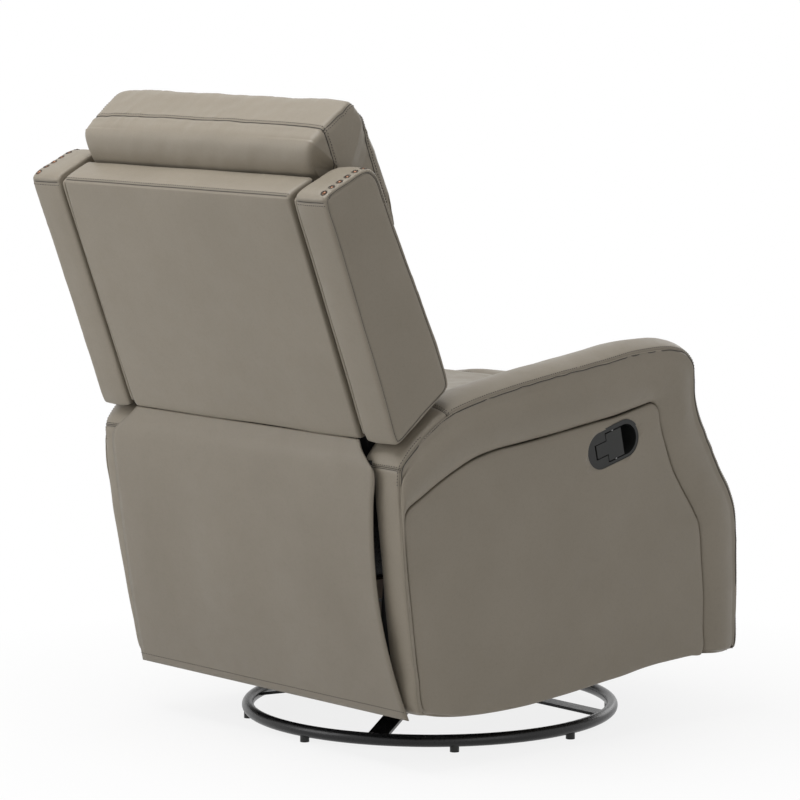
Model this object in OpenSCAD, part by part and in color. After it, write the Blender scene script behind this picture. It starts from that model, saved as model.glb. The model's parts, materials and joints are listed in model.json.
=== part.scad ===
/* [Whole chair] */
// Clear width between the two arm boards
inside_w = 560; // [520:1:620]
// Thickness of an arm at its top, board and padding together
arm_w = 100; // [90:1:120]
// Reach of the arms in front of the swivel axis
arm_front = 368; // [340:1:400]
// Reach of the arms behind the swivel axis
arm_rear = 396; // [380:1:410]
// Lowest point of the arms above the floor
arm_foot = 77; // [72:1:90]
// Height of the arm's side outline
arm_h = 556; // [530:1:580]
// Lean of the back from upright, in degrees
lean = 20.6; // [16:0.1:24]

/* [Base] */
// Diameter of the base ring, measured to the middle of its tube
ring_d = 610; // [560:1:660]
// Diameter of the ring's tube
tube_d = 20; // [16:1:24]
// Height of a glide under the tube
glide_h = 8; // [6:0.5:12]
// Diameter of a glide
glide_d = 15; // [12:0.5:18]
// Angle of a glide either side of its spoke
glide_turn = 24.5; // [15:0.5:35]
// Number of spokes
spoke_count = 4; // [3:1:6]
// Angle of the first spoke from the chair's left
spoke_turn = 31; // [0:1:60]
// Width of a spoke
spoke_w = 34; // [24:1:44]
// Thickness of a spoke
spoke_t = 5; // [4:0.5:8]
// Rise of a spoke from the ring to the hub
spoke_rise = 32; // [26:1:44]
// Diameter of the two swivel plates
plate_d = 220; // [190:1:260]
// Thickness of a swivel plate
plate_t = 4; // [3:0.5:6]
// Diameter of a bearing ball
ball_d = 9; // [8:0.5:11]
// Diameter of the circle that the balls run on
race_d = 170; // [150:1:185]
// Number of balls
ball_count = 14; // [8:1:20]
// Diameter of the swivel bolt
bolt_d = 16; // [12:1:20]

/* [Rocker] */
// Width of a crossbar of the platform
cross_w = 40; // [30:1:50]
// Height of a crossbar
cross_h = 20; // [16:1:28]
// Wall of a crossbar
cross_wall = 2; // [1.5:0.5:4]
// Distance from the swivel axis to the middle of a crossbar
cross_y = 88; // [70:1:92]
// Width of a rocker rail
rail_w = 24; // [18:1:26]
// Height of a rocker rail
rail_h = 18; // [14:1:24]
// Length of a rocker rail
rail_len = 230; // [200:1:240]
// Radius of a rocker cam
cam_r = 300; // [280:1:320]
// Rock either way, in degrees
rock_max = 8; // [5:0.5:9]
// Thickness of a cam
cam_t = 18; // [14:1:22]
// Length of a cam
cam_len = 240; // [220:1:250]
// Height of a cam
cam_h = 84; // [76:1:90]
// Outer diameter of a rocker spring
spring_d = 36; // [28:1:40]
// Wire of a rocker spring
spring_wire = 5; // [4:0.5:6]
// Turns of a rocker spring
spring_turns = 4; // [3:1:5]
// Distance from the middle of a spring shelf to a spring
spring_y = 25; // [22:1:32]
// Width of a spring shelf
shelf_w = 40; // [36:1:44]
// Length of a spring shelf
shelf_len = 104; // [94:1:120]
// Thickness of a spring shelf
shelf_t = 4; // [3:0.5:6]
// Height of the coils between the two shelves
spring_h = 70; // [64:1:74]

/* [Seat box] */
// Thickness of an arm board
board_t = 18; // [15:1:22]
// Width of a side rail
side_rail_w = 32; // [28:1:40]
// Height of the seat rails
seat_rail_h = 50; // [44:1:56]
// Height of the seat deck above the floor
deck_z = 400; // [390:1:410]
// Thickness of a cross rail
cross_rail_t = 25; // [20:1:30]
// Distance from the swivel axis to the back of the front rail
front_rail_y = 187; // [180:1:190]
// Distance from the swivel axis to the front of the rear seat rail
rear_rail_y = 172; // [160:1:176]
// Reach of a side rail in front of the swivel axis
side_rail_front = 290; // [280:1:292]
// Reach of a side rail behind the swivel axis
side_rail_rear = 205; // [200:1:210]
// Distance from the swivel axis to the front of the low rear rail
low_rail_y = 288; // [280:1:292]
// Height of the low rear rail's underside above the floor
low_rail_z = 130; // [120:1:150]
// Height of the low rear rail
low_rail_h = 100; // [80:1:130]
// Thickness of a side plate and of every link
steel_t = 4; // [3:0.5:4.5]
// Number of sinuous seat springs
zig_count = 5; // [4:1:6]
// Wire of a seat spring
zig_wire = 3.5; // [3:0.5:4.5]
// Half the width that a seat spring winds over
zig_reach = 20; // [16:1:26]
// Number of half waves in a seat spring
zig_waves = 15; // [9:2:19]
// Diameter of a frame bolt's head
head_d = 14; // [12:1:18]
// Height of a frame bolt's head
head_h = 3; // [2:0.5:5]

/* [Seat cushion] */
// Gap beside the cushion at each arm board
cushion_gap = 9; // [6:1:16]
// Reach of the cushion in front of the swivel axis
cushion_front = 352; // [340:1:362]
// Reach of the cushion behind the swivel axis
cushion_rear = 182; // [174:1:184]
// Height of the cushion at its crown
cushion_h = 141; // [120:1:146]
// Drop of the cushion towards each side
cushion_crown = 20; // [10:1:26]
// Rounding of the cushion's ends
cushion_round = 46; // [36:1:60]

/* [Arms] */
// Slope of the arm's outer face, in degrees
taper = 2.9; // [1:0.1:4]
// Rise of the arm's padding above its outline
arm_crown = 15; // [12:1:24]
// Thickness of the side panel
panel_t = 14; // [10:1:16]
// Gap round the side panel
panel_gap = 1.5; // [1:0.5:3]
// Depth of the side panel's face behind the arm's padded edge
panel_sink = 2; // [1:0.5:4]
// Distance that the board stands inside the padding's outline
board_inset = 12; // [10:1:18]

/* [Handle] */
// Distance from the swivel axis to the handle, towards the front
handle_y = 58; // [40:1:80]
// Depth of the handle's middle below the side panel's top edge
handle_drop = 45; // [39:1:51]
// Tilt of the handle, in degrees
handle_tilt = 15; // [0:1:20]
// Half the distance between the centres of the bezel's round ends
bezel_half = 27; // [24:1:29]
// Radius of the bezel's round ends
bezel_r = 32.5; // [31.5:0.5:36]
// Height of the bezel above the panel
bezel_t = 3; // [2:0.5:5]
// Wall of the cup
cup_wall = 2.5; // [2:0.5:3]
// Depth of the cup behind the panel's face
cup_depth = 32; // [30:1:38]
// Width of the finger recess
recess_w = 50; // [46:1:51]
// Width of the flap
flap_w = 46; // [40:1:47]
// Thickness of the flap
flap_t = 5; // [4:0.5:6]
// Length of the flap's stem
stem_len = 24; // [18:1:25]
// Width of the stem
stem_w = 22; // [16:1:26]
// Reach of the flap either side of its pin
flap_reach = 17; // [14:1:20]
// Diameter of the flap's pin
flap_pin_d = 3; // [2.5:0.5:4]
// Furthest turn of the flap, in degrees
flap_max = 28; // [20:1:30]
// Diameter of the release cable
cable_d = 5; // [4:0.5:6]

/* [Back] */
// Distance from the swivel axis to the back's lower rear edge
back_y = 399; // [396:1:404]
// Height of the back's lower rear edge above the floor
back_z = 523; // [518:1:532]
// Length of the rear panel, measured up the back
panel_len = 411; // [395:1:425]
// Half the width of the rear panel
panel_half = 283; // [270:1:285]
// Thickness of the rear panel
rear_t = 22; // [18:1:26]
// Depth of the ledge on top of the rear panel
ledge_d = 57; // [50:1:60]
// Thickness of a back rail, and of a back post
frame_t = 20; // [16:1:24]
// Width of a back post
post_w = 30; // [24:1:36]
// Distance from the middle to the outside of a back post
post_out = 238; // [232:1:238]
// Reach of a back post below the rear panel
post_drop = 120; // [110:1:125]
// Width of a back rail
back_rail_w = 40; // [30:1:44]
// Width of a webbing strap
strap_w = 50; // [40:1:60]
// Thickness of a webbing strap
strap_t = 1.7; // [1.2:0.1:2.5]
// Number of webbing straps
strap_count = 5; // [3:1:6]
// Height of the arms' tops above the level of the wings' feet
arm_over_wing = 110; // [104:1:114]
// Thickness of a wing board
wing_board_t = 12; // [9:1:13]
// Thickness of a wing's padding
wing_w = 69; // [60:1:75]
// Depth of a wing at the top
wing_d = 113; // [105:1:118]
// Rounding of a wing's edges
wing_round = 6; // [4:0.5:9]
// Height of a nail head
nail_h = 2.4; // [2:0.1:3]
// Diameter of a nail head
nail_d = 9; // [7:0.5:11]
// Number of nail heads on each wing
nail_count = 6; // [4:1:8]
// Thickness of the back cushion
back_pad_t = 154; // [140:1:158]
// Thickness of the headrest pillow
pillow_t = 164; // [150:1:168]
// Height of the headrest pillow, measured up the back
pillow_h = 170; // [160:1:180]
// Reach of the pillow's lower edge below the rear panel's top
pillow_drop = 80; // [70:1:90]
// Depth of the pull down the middle of the pillow
pillow_pull = 9; // [4:1:14]

/* [Recline hinge] */
// Distance from the swivel axis to the recline pins, towards the back
recline_y = 240; // [236:1:244]
// Height of the recline pins above the floor
recline_z = 395; // [388:1:396]
// Diameter of a recline pin
recline_pin_d = 12; // [10:1:14]
// Furthest recline, in degrees
recline_max = 38; // [20:1:40]

/* [Skirt] */
// Thickness of the rear skirt
skirt_t = 2.5; // [1.5:0.5:4]
// Height of the skirt's hem above the floor
skirt_foot = 87; // [84:1:100]
// Half the width of the skirt at its shoulders
skirt_half = 329; // [315:1:340]
// Furthest swell of the skirt behind the line from its shoulders to its hem
skirt_swell = 16; // [6:1:20]

/* [Footrest] */
// Distance from the swivel axis to the main pivot, towards the front
lift_y = 230; // [226:1:232]
// Height of the main pivot above the floor
lift_z = 330; // [326:1:332]
// Length of each link between its pivots
link_len = 200; // [196:1:202]
// Width of a link
link_w = 28; // [24:1:30]
// Turn of the lift link below level when the footrest is shut, in degrees
lift_shut = 109.6; // [108:0.1:111]
// Turn of the reach link above level when the footrest is shut, in degrees
reach_shut = 52.3; // [51:0.1:54]
// Diameter of the link pins
link_pin_d = 10; // [8:1:12]
// Diameter of the drive tube
drive_d = 24; // [20:1:26]
// Wall of the drive tube
drive_wall = 2; // [1.5:0.5:3]
// Gap between neighbouring links
link_gap = 2; // [1:0.5:2.5]
// Distance that the footboard lies in front of the last pivot
foot_ahead = 15; // [15:1:18]
// Thickness of the footboard
foot_board_t = 15; // [12:1:18]
// Half the width of the footboard
foot_half = 262; // [240:1:268]
// Reach of the footboard above the last pivot
foot_up = 95; // [80:1:98]
// Reach of the footboard below the last pivot
foot_down = 165; // [140:1:170]
// Thickness of the footrest's padding
foot_pad_t = 50; // [40:1:55]

/* [Hidden] */
$fn = 48;

// Overrun of a cut past the face that it starts from
over = 1;
// Running gap between a pin and its bore, on the radius
run_gap = 0.06;
// Gap between faces that stay just clear of each other
clear = 0.3;

// Half the clear width, and the half width over the arms
half = inside_w / 2;
outer = half + arm_w;
arm_len = arm_front + arm_rear;
arm_top = arm_foot + arm_h;

// Heights of the base and the platform, one on top of the other
ring_z = glide_h + tube_d / 2;
spoke_z = ring_z - spoke_t / 2;
hub_z = spoke_z + spoke_rise + spoke_t;
race_gap = ball_d * 2 / 3;
ball_z = hub_z + plate_t + race_gap / 2;
upper_z = hub_z + plate_t + race_gap;
cross_z = upper_z + plate_t;
rail_z = cross_z + cross_h;
rock_z = rail_z + rail_h + clear + cam_r;
ball_gap = 0.2;

// Layers of steel inside the seat box, from the side rail inwards
plate_out = half - side_rail_w;
plate_in = plate_out - steel_t;
lift_out = plate_in - link_gap;
lift_in = lift_out - steel_t;
reach_out = lift_in - link_gap;
reach_in = reach_out - steel_t;
cam_out = plate_in;
cam_in = cam_out - cam_t;
rail_in = cam_out - rail_w;
shelf_x = rail_in - shelf_w;
spring_x = rail_in - shelf_w / 2;
lower_shelf_z = rail_z + shelf_t;
upper_shelf_z = lower_shelf_z + spring_h;

// Colours
leather = [0.56, 0.53, 0.47];
dark_steel = [0.08, 0.08, 0.09];
bright_steel = [0.62, 0.63, 0.65];
wood = [0.78, 0.62, 0.42];
plastic = [0.17, 0.17, 0.17];
webbing = [0.15, 0.15, 0.16];
bronze = [0.45, 0.30, 0.18];

// Small helpers
function mix(a, b, t) = a + (b - a) * t;
function ease(t) = let(c = min(max(t, 0), 1)) c * c * (3 - 2 * c);
function mean(list) = list * [for (i = list) 1] / len(list);
function middle(ring) = [for (k = [0:2]) mean([for (p = ring) p[k]])];
function unit(v) = v / norm(v);
// Direction out of a ring of [y, z] points at point i, where the ring runs up the rear and down the front
function outward(ring, i) =
  let(n = len(ring), t = unit(ring[(i + 1) % n] - ring[(i + n - 1) % n])) [t[1], -t[0]];
// The ring moved out by a distance
function swell(ring, d) = [for (i = [0:len(ring) - 1]) ring[i] + outward(ring, i) * d];

// A closed skin over rings of equal point counts
module loft(rings) {
  n = len(rings[0]);
  m = len(rings);
  points = concat([for (r = rings) each r], [middle(rings[0]), middle(rings[m - 1])]);
  sides = [
    for (i = [0:m - 2]) for (j = [0:n - 1])
      let(k = (j + 1) % n, a = i * n, b = (i + 1) * n)
      each [[a + j, b + k, a + k], [a + j, b + j, b + k]]
  ];
  caps = [
    for (j = [0:n - 1])
      let(k = (j + 1) % n)
      each [[m * n, j, k], [m * n + 1, (m - 1) * n + k, (m - 1) * n + j]]
  ];
  polyhedron(points = points, faces = concat(sides, caps), convexity = 8);
}

// A round tube along a path, with the side vector that its rings start from at each point
function tube_ring(p, along, side, r, sides) =
  let(a = unit(side - along * (side * along)), b = cross(along, a))
  [for (i = [0:sides - 1]) p + r * (cos(360 * i / sides) * a + sin(360 * i / sides) * b)];
function tube_rings(path, sides_of, r, sides) =
  let(last = len(path) - 1)
  [for (i = [0:last])
    tube_ring(path[i], unit(path[min(i + 1, last)] - path[max(i - 1, 0)]), sides_of[i], r, sides)];

// Mirror image for the chair's right side
module right_side() {
  mirror([1, 0, 0]) children();
}

// Frame of the back: its origin at the lower rear edge, Z up the back, Y rearwards
module in_back() {
  translate([0, back_y, back_z]) rotate([-lean, 0, 0]) children();
}

// A bar with round ends between two [y, z] points, lying across X from x0
module flat_link(x0, thick, a, b, width) {
  translate([x0, 0, 0]) rotate([90, 0, 90]) linear_extrude(thick) hull() {
    translate(a) circle(d = width, $fn = 32);
    translate(b) circle(d = width, $fn = 32);
  }
}

// A cylinder along X from x0 at a [y, z] point
module x_rod(x0, len_x, at, dia) {
  translate([x0, at[0], at[1]]) rotate([0, 90, 0]) cylinder(h = len_x, d = dia);
}

// Base
module base_ring() {
  color(dark_steel) translate([0, 0, ring_z]) rotate_extrude($fn = 96)
    translate([ring_d / 2, 0]) circle(d = tube_d, $fn = 32);
}

// Where a spoke leaves the level hub, and where it meets the tube
spoke_in = plate_d / 2 - spoke_w / 2;
spoke_out = ring_d / 2 - tube_d / 2 + spoke_t / 8;
hub_in = bolt_d * 1.5;
module base_spokes() {
  color(dark_steel) for (i = [0:spoke_count - 1])
    rotate([0, 0, spoke_turn + 360 * i / spoke_count])
      translate([0, spoke_w / 2, 0]) rotate([90, 0, 0]) linear_extrude(spoke_w)
        polygon([
          [hub_in, hub_z - spoke_t], [spoke_in, hub_z - spoke_t], [spoke_out, spoke_z],
          [spoke_out, spoke_z + spoke_t], [spoke_in, hub_z], [hub_in, hub_z]
        ]);
}

module base_glides() {
  color(plastic) for (i = [0:spoke_count - 1]) for (s = [-1, 1])
    rotate([0, 0, spoke_turn + 360 * i / spoke_count + s * glide_turn])
      difference() {
        translate([ring_d / 2, 0, 0]) cylinder(h = ring_z - tube_d / 4, d = glide_d);
        translate([0, 0, ring_z]) rotate([0, 0, -glide_turn]) rotate_extrude(angle = 2 * glide_turn, $fn = 96)
          translate([ring_d / 2, 0]) circle(d = tube_d, $fn = 32);
      }
}

module swivel_plate(z0) {
  difference() {
    translate([0, 0, z0]) cylinder(h = plate_t, d = plate_d, $fn = 96);
    translate([0, 0, z0 - over]) cylinder(h = plate_t + 2 * over, d = bolt_d + 2 * run_gap);
    translate([0, 0, ball_z]) rotate_extrude($fn = 96)
      translate([race_d / 2, 0]) circle(d = ball_d + 2 * ball_gap, $fn = 32);
  }
}

module swivel_lower_plate() {
  color(dark_steel) swivel_plate(hub_z);
}

module bearing_balls() {
  color(bright_steel) for (i = [0:ball_count - 1])
    rotate([0, 0, 360 * i / ball_count]) translate([race_d / 2, 0, ball_z]) sphere(d = ball_d, $fn = 24);
}

// The swivel bolt's heads hold the two plates together
bolt_head_h = bolt_d / 2;
module swivel_bolt() {
  color(bright_steel) {
    translate([0, 0, hub_z - bolt_head_h]) cylinder(h = bolt_head_h, d = bolt_d * 1.8, $fn = 6);
    translate([0, 0, hub_z - over]) cylinder(h = cross_z - hub_z + clear + over, d = bolt_d);
    translate([0, 0, cross_z + clear]) cylinder(h = bolt_head_h, d = bolt_d * 1.8, $fn = 6);
  }
}

// Platform
module swivel_upper_plate() {
  color(dark_steel) swivel_plate(upper_z);
}

module platform_crossbars() {
  color(dark_steel) for (s = [-1, 1])
    translate([-cam_out, s * cross_y, cross_z + cross_h / 2]) rotate([90, 0, 90])
      linear_extrude(2 * cam_out) difference() {
        square([cross_w, cross_h], center = true);
        square([cross_w - 2 * cross_wall, cross_h - 2 * cross_wall], center = true);
      }
}

module rocker_rails() {
  color(wood) for (s = [0, 1]) mirror([s, 0, 0])
    translate([rail_in, -rail_len / 2, rail_z]) cube([rail_w, rail_len, rail_h]);
}

module spring_shelf(z0) {
  translate([shelf_x, -shelf_len / 2, z0]) cube([shelf_w, shelf_len, shelf_t]);
}

module lower_spring_shelves() {
  color(dark_steel) for (s = [0, 1]) mirror([s, 0, 0]) spring_shelf(rail_z);
}

module upper_spring_shelves() {
  color(dark_steel) for (s = [0, 1]) mirror([s, 0, 0]) {
    spring_shelf(upper_shelf_z);
    translate([rail_in, -shelf_len / 2, upper_shelf_z]) cube([cam_in - rail_in, shelf_len, shelf_t]);
  }
}

// Rocker springs: a helix with a straight tail of one wire at each end
spring_steps = 8;
spring_tail = spring_wire;
coil_h = spring_h - 2 * spring_tail;
coil_r = (spring_d - spring_wire) / 2;
function coil_point(i) =
  let(a = 360 * i / spring_steps)
  [coil_r * cos(a), coil_r * sin(a), spring_tail + coil_h * i / (spring_turns * spring_steps)];
coil_last = spring_turns * spring_steps;
coil_path = concat(
  [[coil_r, 0, 0]],
  [for (i = [0:coil_last]) coil_point(i)],
  [[coil_r, 0, spring_h]]
);
coil_sides = concat(
  [[1, 0, 0]],
  [for (i = [0:coil_last]) unit([coil_point(i)[0], coil_point(i)[1], 0])],
  [[1, 0, 0]]
);
coil_self_gap = min([for (i = [0:coil_last - spring_steps]) for (j = [i + spring_steps / 2:coil_last])
  norm(coil_point(i) - coil_point(j))]) - spring_wire;
echo(rocker_spring_least_gap_to_itself = coil_self_gap);

module spring_pair() {
  for (s = [-1, 1])
    translate([spring_x, s * spring_y, lower_shelf_z])
      loft(tube_rings(coil_path, coil_sides, spring_wire / 2, 6));
}

module rocker_springs_left() {
  color(bright_steel) spring_pair();
}

module rocker_springs_right() {
  color(bright_steel) right_side() spring_pair();
}

// Rocker cam: an arc round the rocking axis, with a straight flank at each end for the rail to stop
cam_steps = 8;
flank_y = cam_len / 2;
arc_y = cam_r * sin(rock_max);
flank_z = rock_z - cam_r * cos(rock_max) + (flank_y - arc_y) * tan(rock_max);
cam_top = rock_z - cam_r + cam_h;
module rocker_cam() {
  translate([cam_in, 0, 0]) rotate([90, 0, 90]) linear_extrude(cam_t) polygon(concat(
    [[-flank_y, cam_top], [-flank_y, flank_z]],
    [for (i = [0:cam_steps])
      let(a = rock_max * (2 * i / cam_steps - 1)) [cam_r * sin(a), rock_z - cam_r * cos(a)]],
    [[flank_y, flank_z], [flank_y, cam_top]]
  ));
}

module rocker_cam_left() {
  color(wood) rocker_cam();
}

module rocker_cam_right() {
  color(wood) right_side() rocker_cam();
}

// Side plate: carries the cam, the footrest's main pivot and the recline pin
lift_at = [-lift_y, lift_z];
recline_at = [recline_y, recline_z];
pad_r = link_w / 2 + steel_t;
plate_low = cam_top - cam_h / 3;
rail_under = deck_z - seat_rail_h;
module side_plate() {
  difference() {
    translate([plate_in, 0, 0]) rotate([90, 0, 90]) linear_extrude(steel_t) union() {
      translate(lift_at) circle(r = pad_r);
      translate(recline_at) circle(r = pad_r);
      polygon([
        lift_at + [0, pad_r], lift_at - [0, pad_r], [-flank_y, plate_low], [flank_y, plate_low],
        recline_at - [0, pad_r], recline_at + [-pad_r, 0], [recline_y - 2 * pad_r, deck_z - seat_rail_h / 4],
        [-front_rail_y, deck_z - seat_rail_h / 4]
      ]);
    }
    x_rod(plate_in - over, steel_t + 2 * over, lift_at, link_pin_d);
    x_rod(plate_in - over, steel_t + 2 * over, recline_at, recline_pin_d);
  }
}

module side_plate_left() {
  color(dark_steel) side_plate();
}

module side_plate_right() {
  color(dark_steel) right_side() side_plate();
}

// Wooden seat box
module seat_side_rails() {
  color(wood) for (s = [0, 1]) mirror([s, 0, 0])
    translate([plate_out, -side_rail_front, rail_under])
      cube([side_rail_w, side_rail_front + side_rail_rear, seat_rail_h]);
}

module seat_cross_rails() {
  color(wood) {
    translate([-plate_in, -front_rail_y - cross_rail_t, rail_under])
      cube([2 * plate_in, cross_rail_t, seat_rail_h]);
    translate([-plate_in, rear_rail_y, rail_under]) cube([2 * plate_in, cross_rail_t, seat_rail_h]);
  }
}

module low_rear_rail() {
  color(wood) translate([-half, low_rail_y, low_rail_z]) cube([inside_w, cross_rail_t, low_rail_h]);
}

// Sinuous seat springs lie on the two cross rails
zig_from = -front_rail_y - cross_rail_t / 2;
zig_to = rear_rail_y + cross_rail_t / 2;
zig_step = (zig_to - zig_from) / (zig_waves * 4);
zig_pitch = 2 * (plate_in - 2 * zig_reach) / zig_count;
zig_path = [for (i = [0:zig_waves * 4]) [zig_reach * sin(90 * i), zig_from + i * zig_step]];
function zig_side(i) =
  let(t = unit(zig_path[min(i + 1, zig_waves * 4)] - zig_path[max(i - 1, 0)])) [t[1], -t[0]] * zig_wire / 2;
module seat_springs() {
  color(bright_steel) for (i = [0:zig_count - 1])
    translate([(i - (zig_count - 1) / 2) * zig_pitch, 0, deck_z]) linear_extrude(zig_wire) polygon(concat(
      [for (j = [0:zig_waves * 4]) zig_path[j] + zig_side(j)],
      [for (j = [zig_waves * 4:-1:0]) zig_path[j] - zig_side(j)]
    ));
}

// Bolts through the side plates into the side rails, with their heads inside
bolt_spots = [for (y = [-front_rail_y * 0.7, 0, rear_rail_y * 0.7]) [y, deck_z - seat_rail_h * 0.45]];
module frame_bolts() {
  color(bright_steel) for (s = [0, 1]) mirror([s, 0, 0]) for (p = bolt_spots)
    x_rod(plate_in - head_h, head_h, p, head_d);
}

// Seat cushion: its side outline as shares of its length and height
seat_shares = [
  [0.985, 0.02], [1, 0.22], [0.998, 0.5], [0.975, 0.72], [0.91, 0.87], [0.8, 0.95], [0.66, 0.985], [0.5, 1],
  [0.34, 0.995], [0.2, 0.96], [0.1, 0.885], [0.035, 0.76], [0.005, 0.58], [0.001, 0.36], [0.012, 0.14],
  [0.045, 0.01], [0.2, 0], [0.4, 0], [0.6, 0], [0.8, 0]
];
seat_z = deck_z + zig_wire + clear;
seat_half = half - cushion_gap;
seat_outline = [for (p = seat_shares)
  [mix(-cushion_front, cushion_rear, p[0]), seat_z + p[1] * cushion_h]];
// Places across a cushion from one end, and how far it is drawn in there, as shares of its rounding
end_shares = [[0, 0.55], [0.1, 0.34], [0.32, 0.14], [0.65, 0.035], [1, 0]];
// Distances across a cushion: rounded ends and even steps between them
function across(reach, round_r, steps) = concat(
  [for (e = end_shares) -reach + e[0] * round_r],
  [for (i = [1:steps - 1]) mix(-reach + round_r, reach - round_r, i / steps)],
  [for (i = [len(end_shares) - 1:-1:0]) reach - end_shares[i][0] * round_r]
);
function drawn_in(x, reach, round_r) = round_r * lookup((reach - abs(x)) / round_r, end_shares);
// The flat underside stays put, and the rest of the outline is drawn in towards the ends
function seat_ring(x) =
  let(d = drawn_in(x, seat_half, cushion_round), q = pow(abs(x) / seat_half, 2.5))
  [for (i = [0:len(seat_outline) - 1])
    let(o = outward(seat_outline, i), rise = seat_shares[i][1], p = seat_outline[i])
    [x, p[0] - o[0] * d * 0.6, max(seat_z, p[1] - (o[1] > 0 ? o[1] : 0) * d - rise * cushion_crown * q)]];
module seat_cushion() {
  color(leather) loft([for (x = across(seat_half, cushion_round, 10)) seat_ring(x)]);
}

// Arm outline and side panel outline, matched point to point, as shares of the arm's length and height
arm_shares = [
  [0.924, 0.041], [0.942, 0.149], [0.957, 0.252], [0.974, 0.385], [0.99, 0.56], [0.999, 0.671], [0.998, 0.735],
  [0.975, 0.778], [0.927, 0.833], [0.874, 0.876], [0.79, 0.908], [0.698, 0.93], [0.594, 0.951], [0.49, 0.969],
  [0.42, 0.982], [0.356, 0.995], [0.285, 1], [0.233, 0.996], [0.193, 0.977], [0.17, 0.945], [0.163, 0.899],
  [0.157, 0.842], [0.144, 0.788], [0.12, 0.727], [0.093, 0.667], [0.067, 0.61], [0.039, 0.554], [0.021, 0.493],
  [0.01, 0.401], [0.004, 0.293], [0.001, 0.167], [0.002, 0.066],
  [0.089, 0.063], [0.175, 0.059], [0.272, 0.052], [0.36, 0.038], [0.449, 0.023], [0.541, 0.011], [0.626, 0.002],
  [0.715, 0], [0.783, 0.005], [0.843, 0.014], [0.89, 0.027]
];
panel_shares = [
  [0.913, 0.05], [0.931, 0.149], [0.946, 0.252], [0.963, 0.385], [0.979, 0.527], [0.985, 0.585], [0.976, 0.619],
  [0.935, 0.655], [0.889, 0.691], [0.843, 0.721], [0.8, 0.743], [0.749, 0.759], [0.685, 0.77], [0.62, 0.779],
  [0.488, 0.802], [0.43, 0.812], [0.387, 0.821], [0.318, 0.84], [0.29, 0.845], [0.275, 0.829], [0.266, 0.788],
  [0.253, 0.743], [0.237, 0.694], [0.22, 0.647], [0.194, 0.594], [0.166, 0.541], [0.147, 0.504], [0.13, 0.464],
  [0.117, 0.365], [0.106, 0.246], [0.102, 0.149], [0.1, 0.074],
  [0.139, 0.072], [0.2, 0.068], [0.279, 0.061], [0.36, 0.047], [0.449, 0.032], [0.541, 0.02], [0.626, 0.011],
  [0.715, 0.009], [0.776, 0.014], [0.832, 0.023], [0.88, 0.036]
];
function side_point(s) = [-arm_front + s[0] * arm_len, arm_foot + s[1] * arm_h];
arm_outline = [for (s = arm_shares) side_point(s)];
panel_outline = [for (s = panel_shares) side_point(s)];
// Half width of the chair over the sloping outer face of an arm, at a height
function arm_out(z) = outer - (arm_top - z) * tan(taper);
// The padding stands proud most on top, less in front and behind, and not below
function plump(ring, i) = let(o = outward(ring, i)) o[1] > 0 ? mix(0.2, 1, o[1]) : 0.2 * (1 + o[1]);
// Rings of padding from the board outwards: place across, proud share, and draw-in in shares of the crown
pad_shares = [
  [0, 0.2, 0.45], [0.05, 0.5, 0.12], [0.2, 0.9, 0], [0.45, 1, 0], [0.7, 0.8, 0], [0.88, 0.4, 0.04],
  [0.96, 0.15, 0.14]
];
pad_in = half + board_t;
function pad_ring(s) = [for (i = [0:len(arm_outline) - 1])
  let(p = arm_outline[i], o = outward(arm_outline, i),
    q = p + o * arm_crown * (s[1] * plump(arm_outline, i) - s[2]))
  [mix(pad_in, arm_out(q[1]), s[0]), q[0], q[1]]];
// A ring on the sloping outer face, sunk by a depth
function face_ring(outline, depth) = [for (p = outline) [arm_out(p[1]) - depth, p[0], p[1]]];
// The outline between the arm's edge and the panel's edge, where the padded edge is fullest
band_outline = [for (i = [0:len(arm_outline) - 1]) mix(arm_outline[i], panel_outline[i], 0.35)];
panel_floor = panel_sink + panel_t + clear;
pad_rings = concat(
  [for (s = pad_shares) pad_ring(s)],
  [
    face_ring(band_outline, 0), face_ring(panel_outline, panel_sink / 2),
    face_ring(panel_outline, panel_floor)
  ]
);

module arm_pad_left() {
  color(leather) loft(pad_rings);
}

module arm_pad_right() {
  color(leather) right_side() difference() {
    loft(pad_rings);
    on_handle() slot_solid(cup_r + clear, -cup_depth - clear, cup_depth + over);
  }
}

module arm_board() {
  translate([half, 0, 0]) rotate([90, 0, 90]) linear_extrude(board_t)
    polygon(swell(arm_outline, -board_inset));
}

// The boards are wrapped in the leather that shows on the arms' inner faces
module arm_board_left() {
  color(leather) arm_board();
}

module arm_board_right() {
  color(leather) right_side() difference() {
    arm_board();
    x_rod(half - over, board_t + 2 * over, cable_pass, cable_d * 1.5);
  }
}

// Frame of an arm's outer face: its origin on the arm's top edge, X outwards, Z up the face
module on_face() {
  translate([outer, 0, arm_top]) rotate([0, taper, 0]) children();
}

// The panel is flat, so its outline is measured down the sloping face
function down_face(p) = [p[0], (p[1] - arm_top) / cos(taper)];
module arm_panel() {
  on_face() translate([-panel_sink - panel_t, 0, 0]) rotate([90, 0, 90]) linear_extrude(panel_t)
    polygon([for (p = swell(panel_outline, -panel_gap)) down_face(p)]);
}

module arm_panel_left() {
  color(leather) arm_panel();
}

module arm_panel_right() {
  color(leather) right_side() difference() {
    arm_panel();
    on_handle() slot_solid(cup_r + clear, -panel_t - over, panel_t + 2 * over);
  }
}

// The cup passes through the panel into a pocket in the padding
cup_r = bezel_r - cup_wall;
handle_top_share = 0.816547;
handle_at = [-handle_y, arm_foot + arm_h * handle_top_share - handle_drop];
// Frame of the handle: its origin on the panel's face, X towards the front along the bezel, Z out of the arm
module on_handle() {
  on_face() translate([-panel_sink, down_face(handle_at)[0], down_face(handle_at)[1]])
    rotate([-handle_tilt, 0, 0]) rotate([0, 90, 0]) rotate([0, 0, 90]) mirror([1, 0, 0]) children();
}

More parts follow.
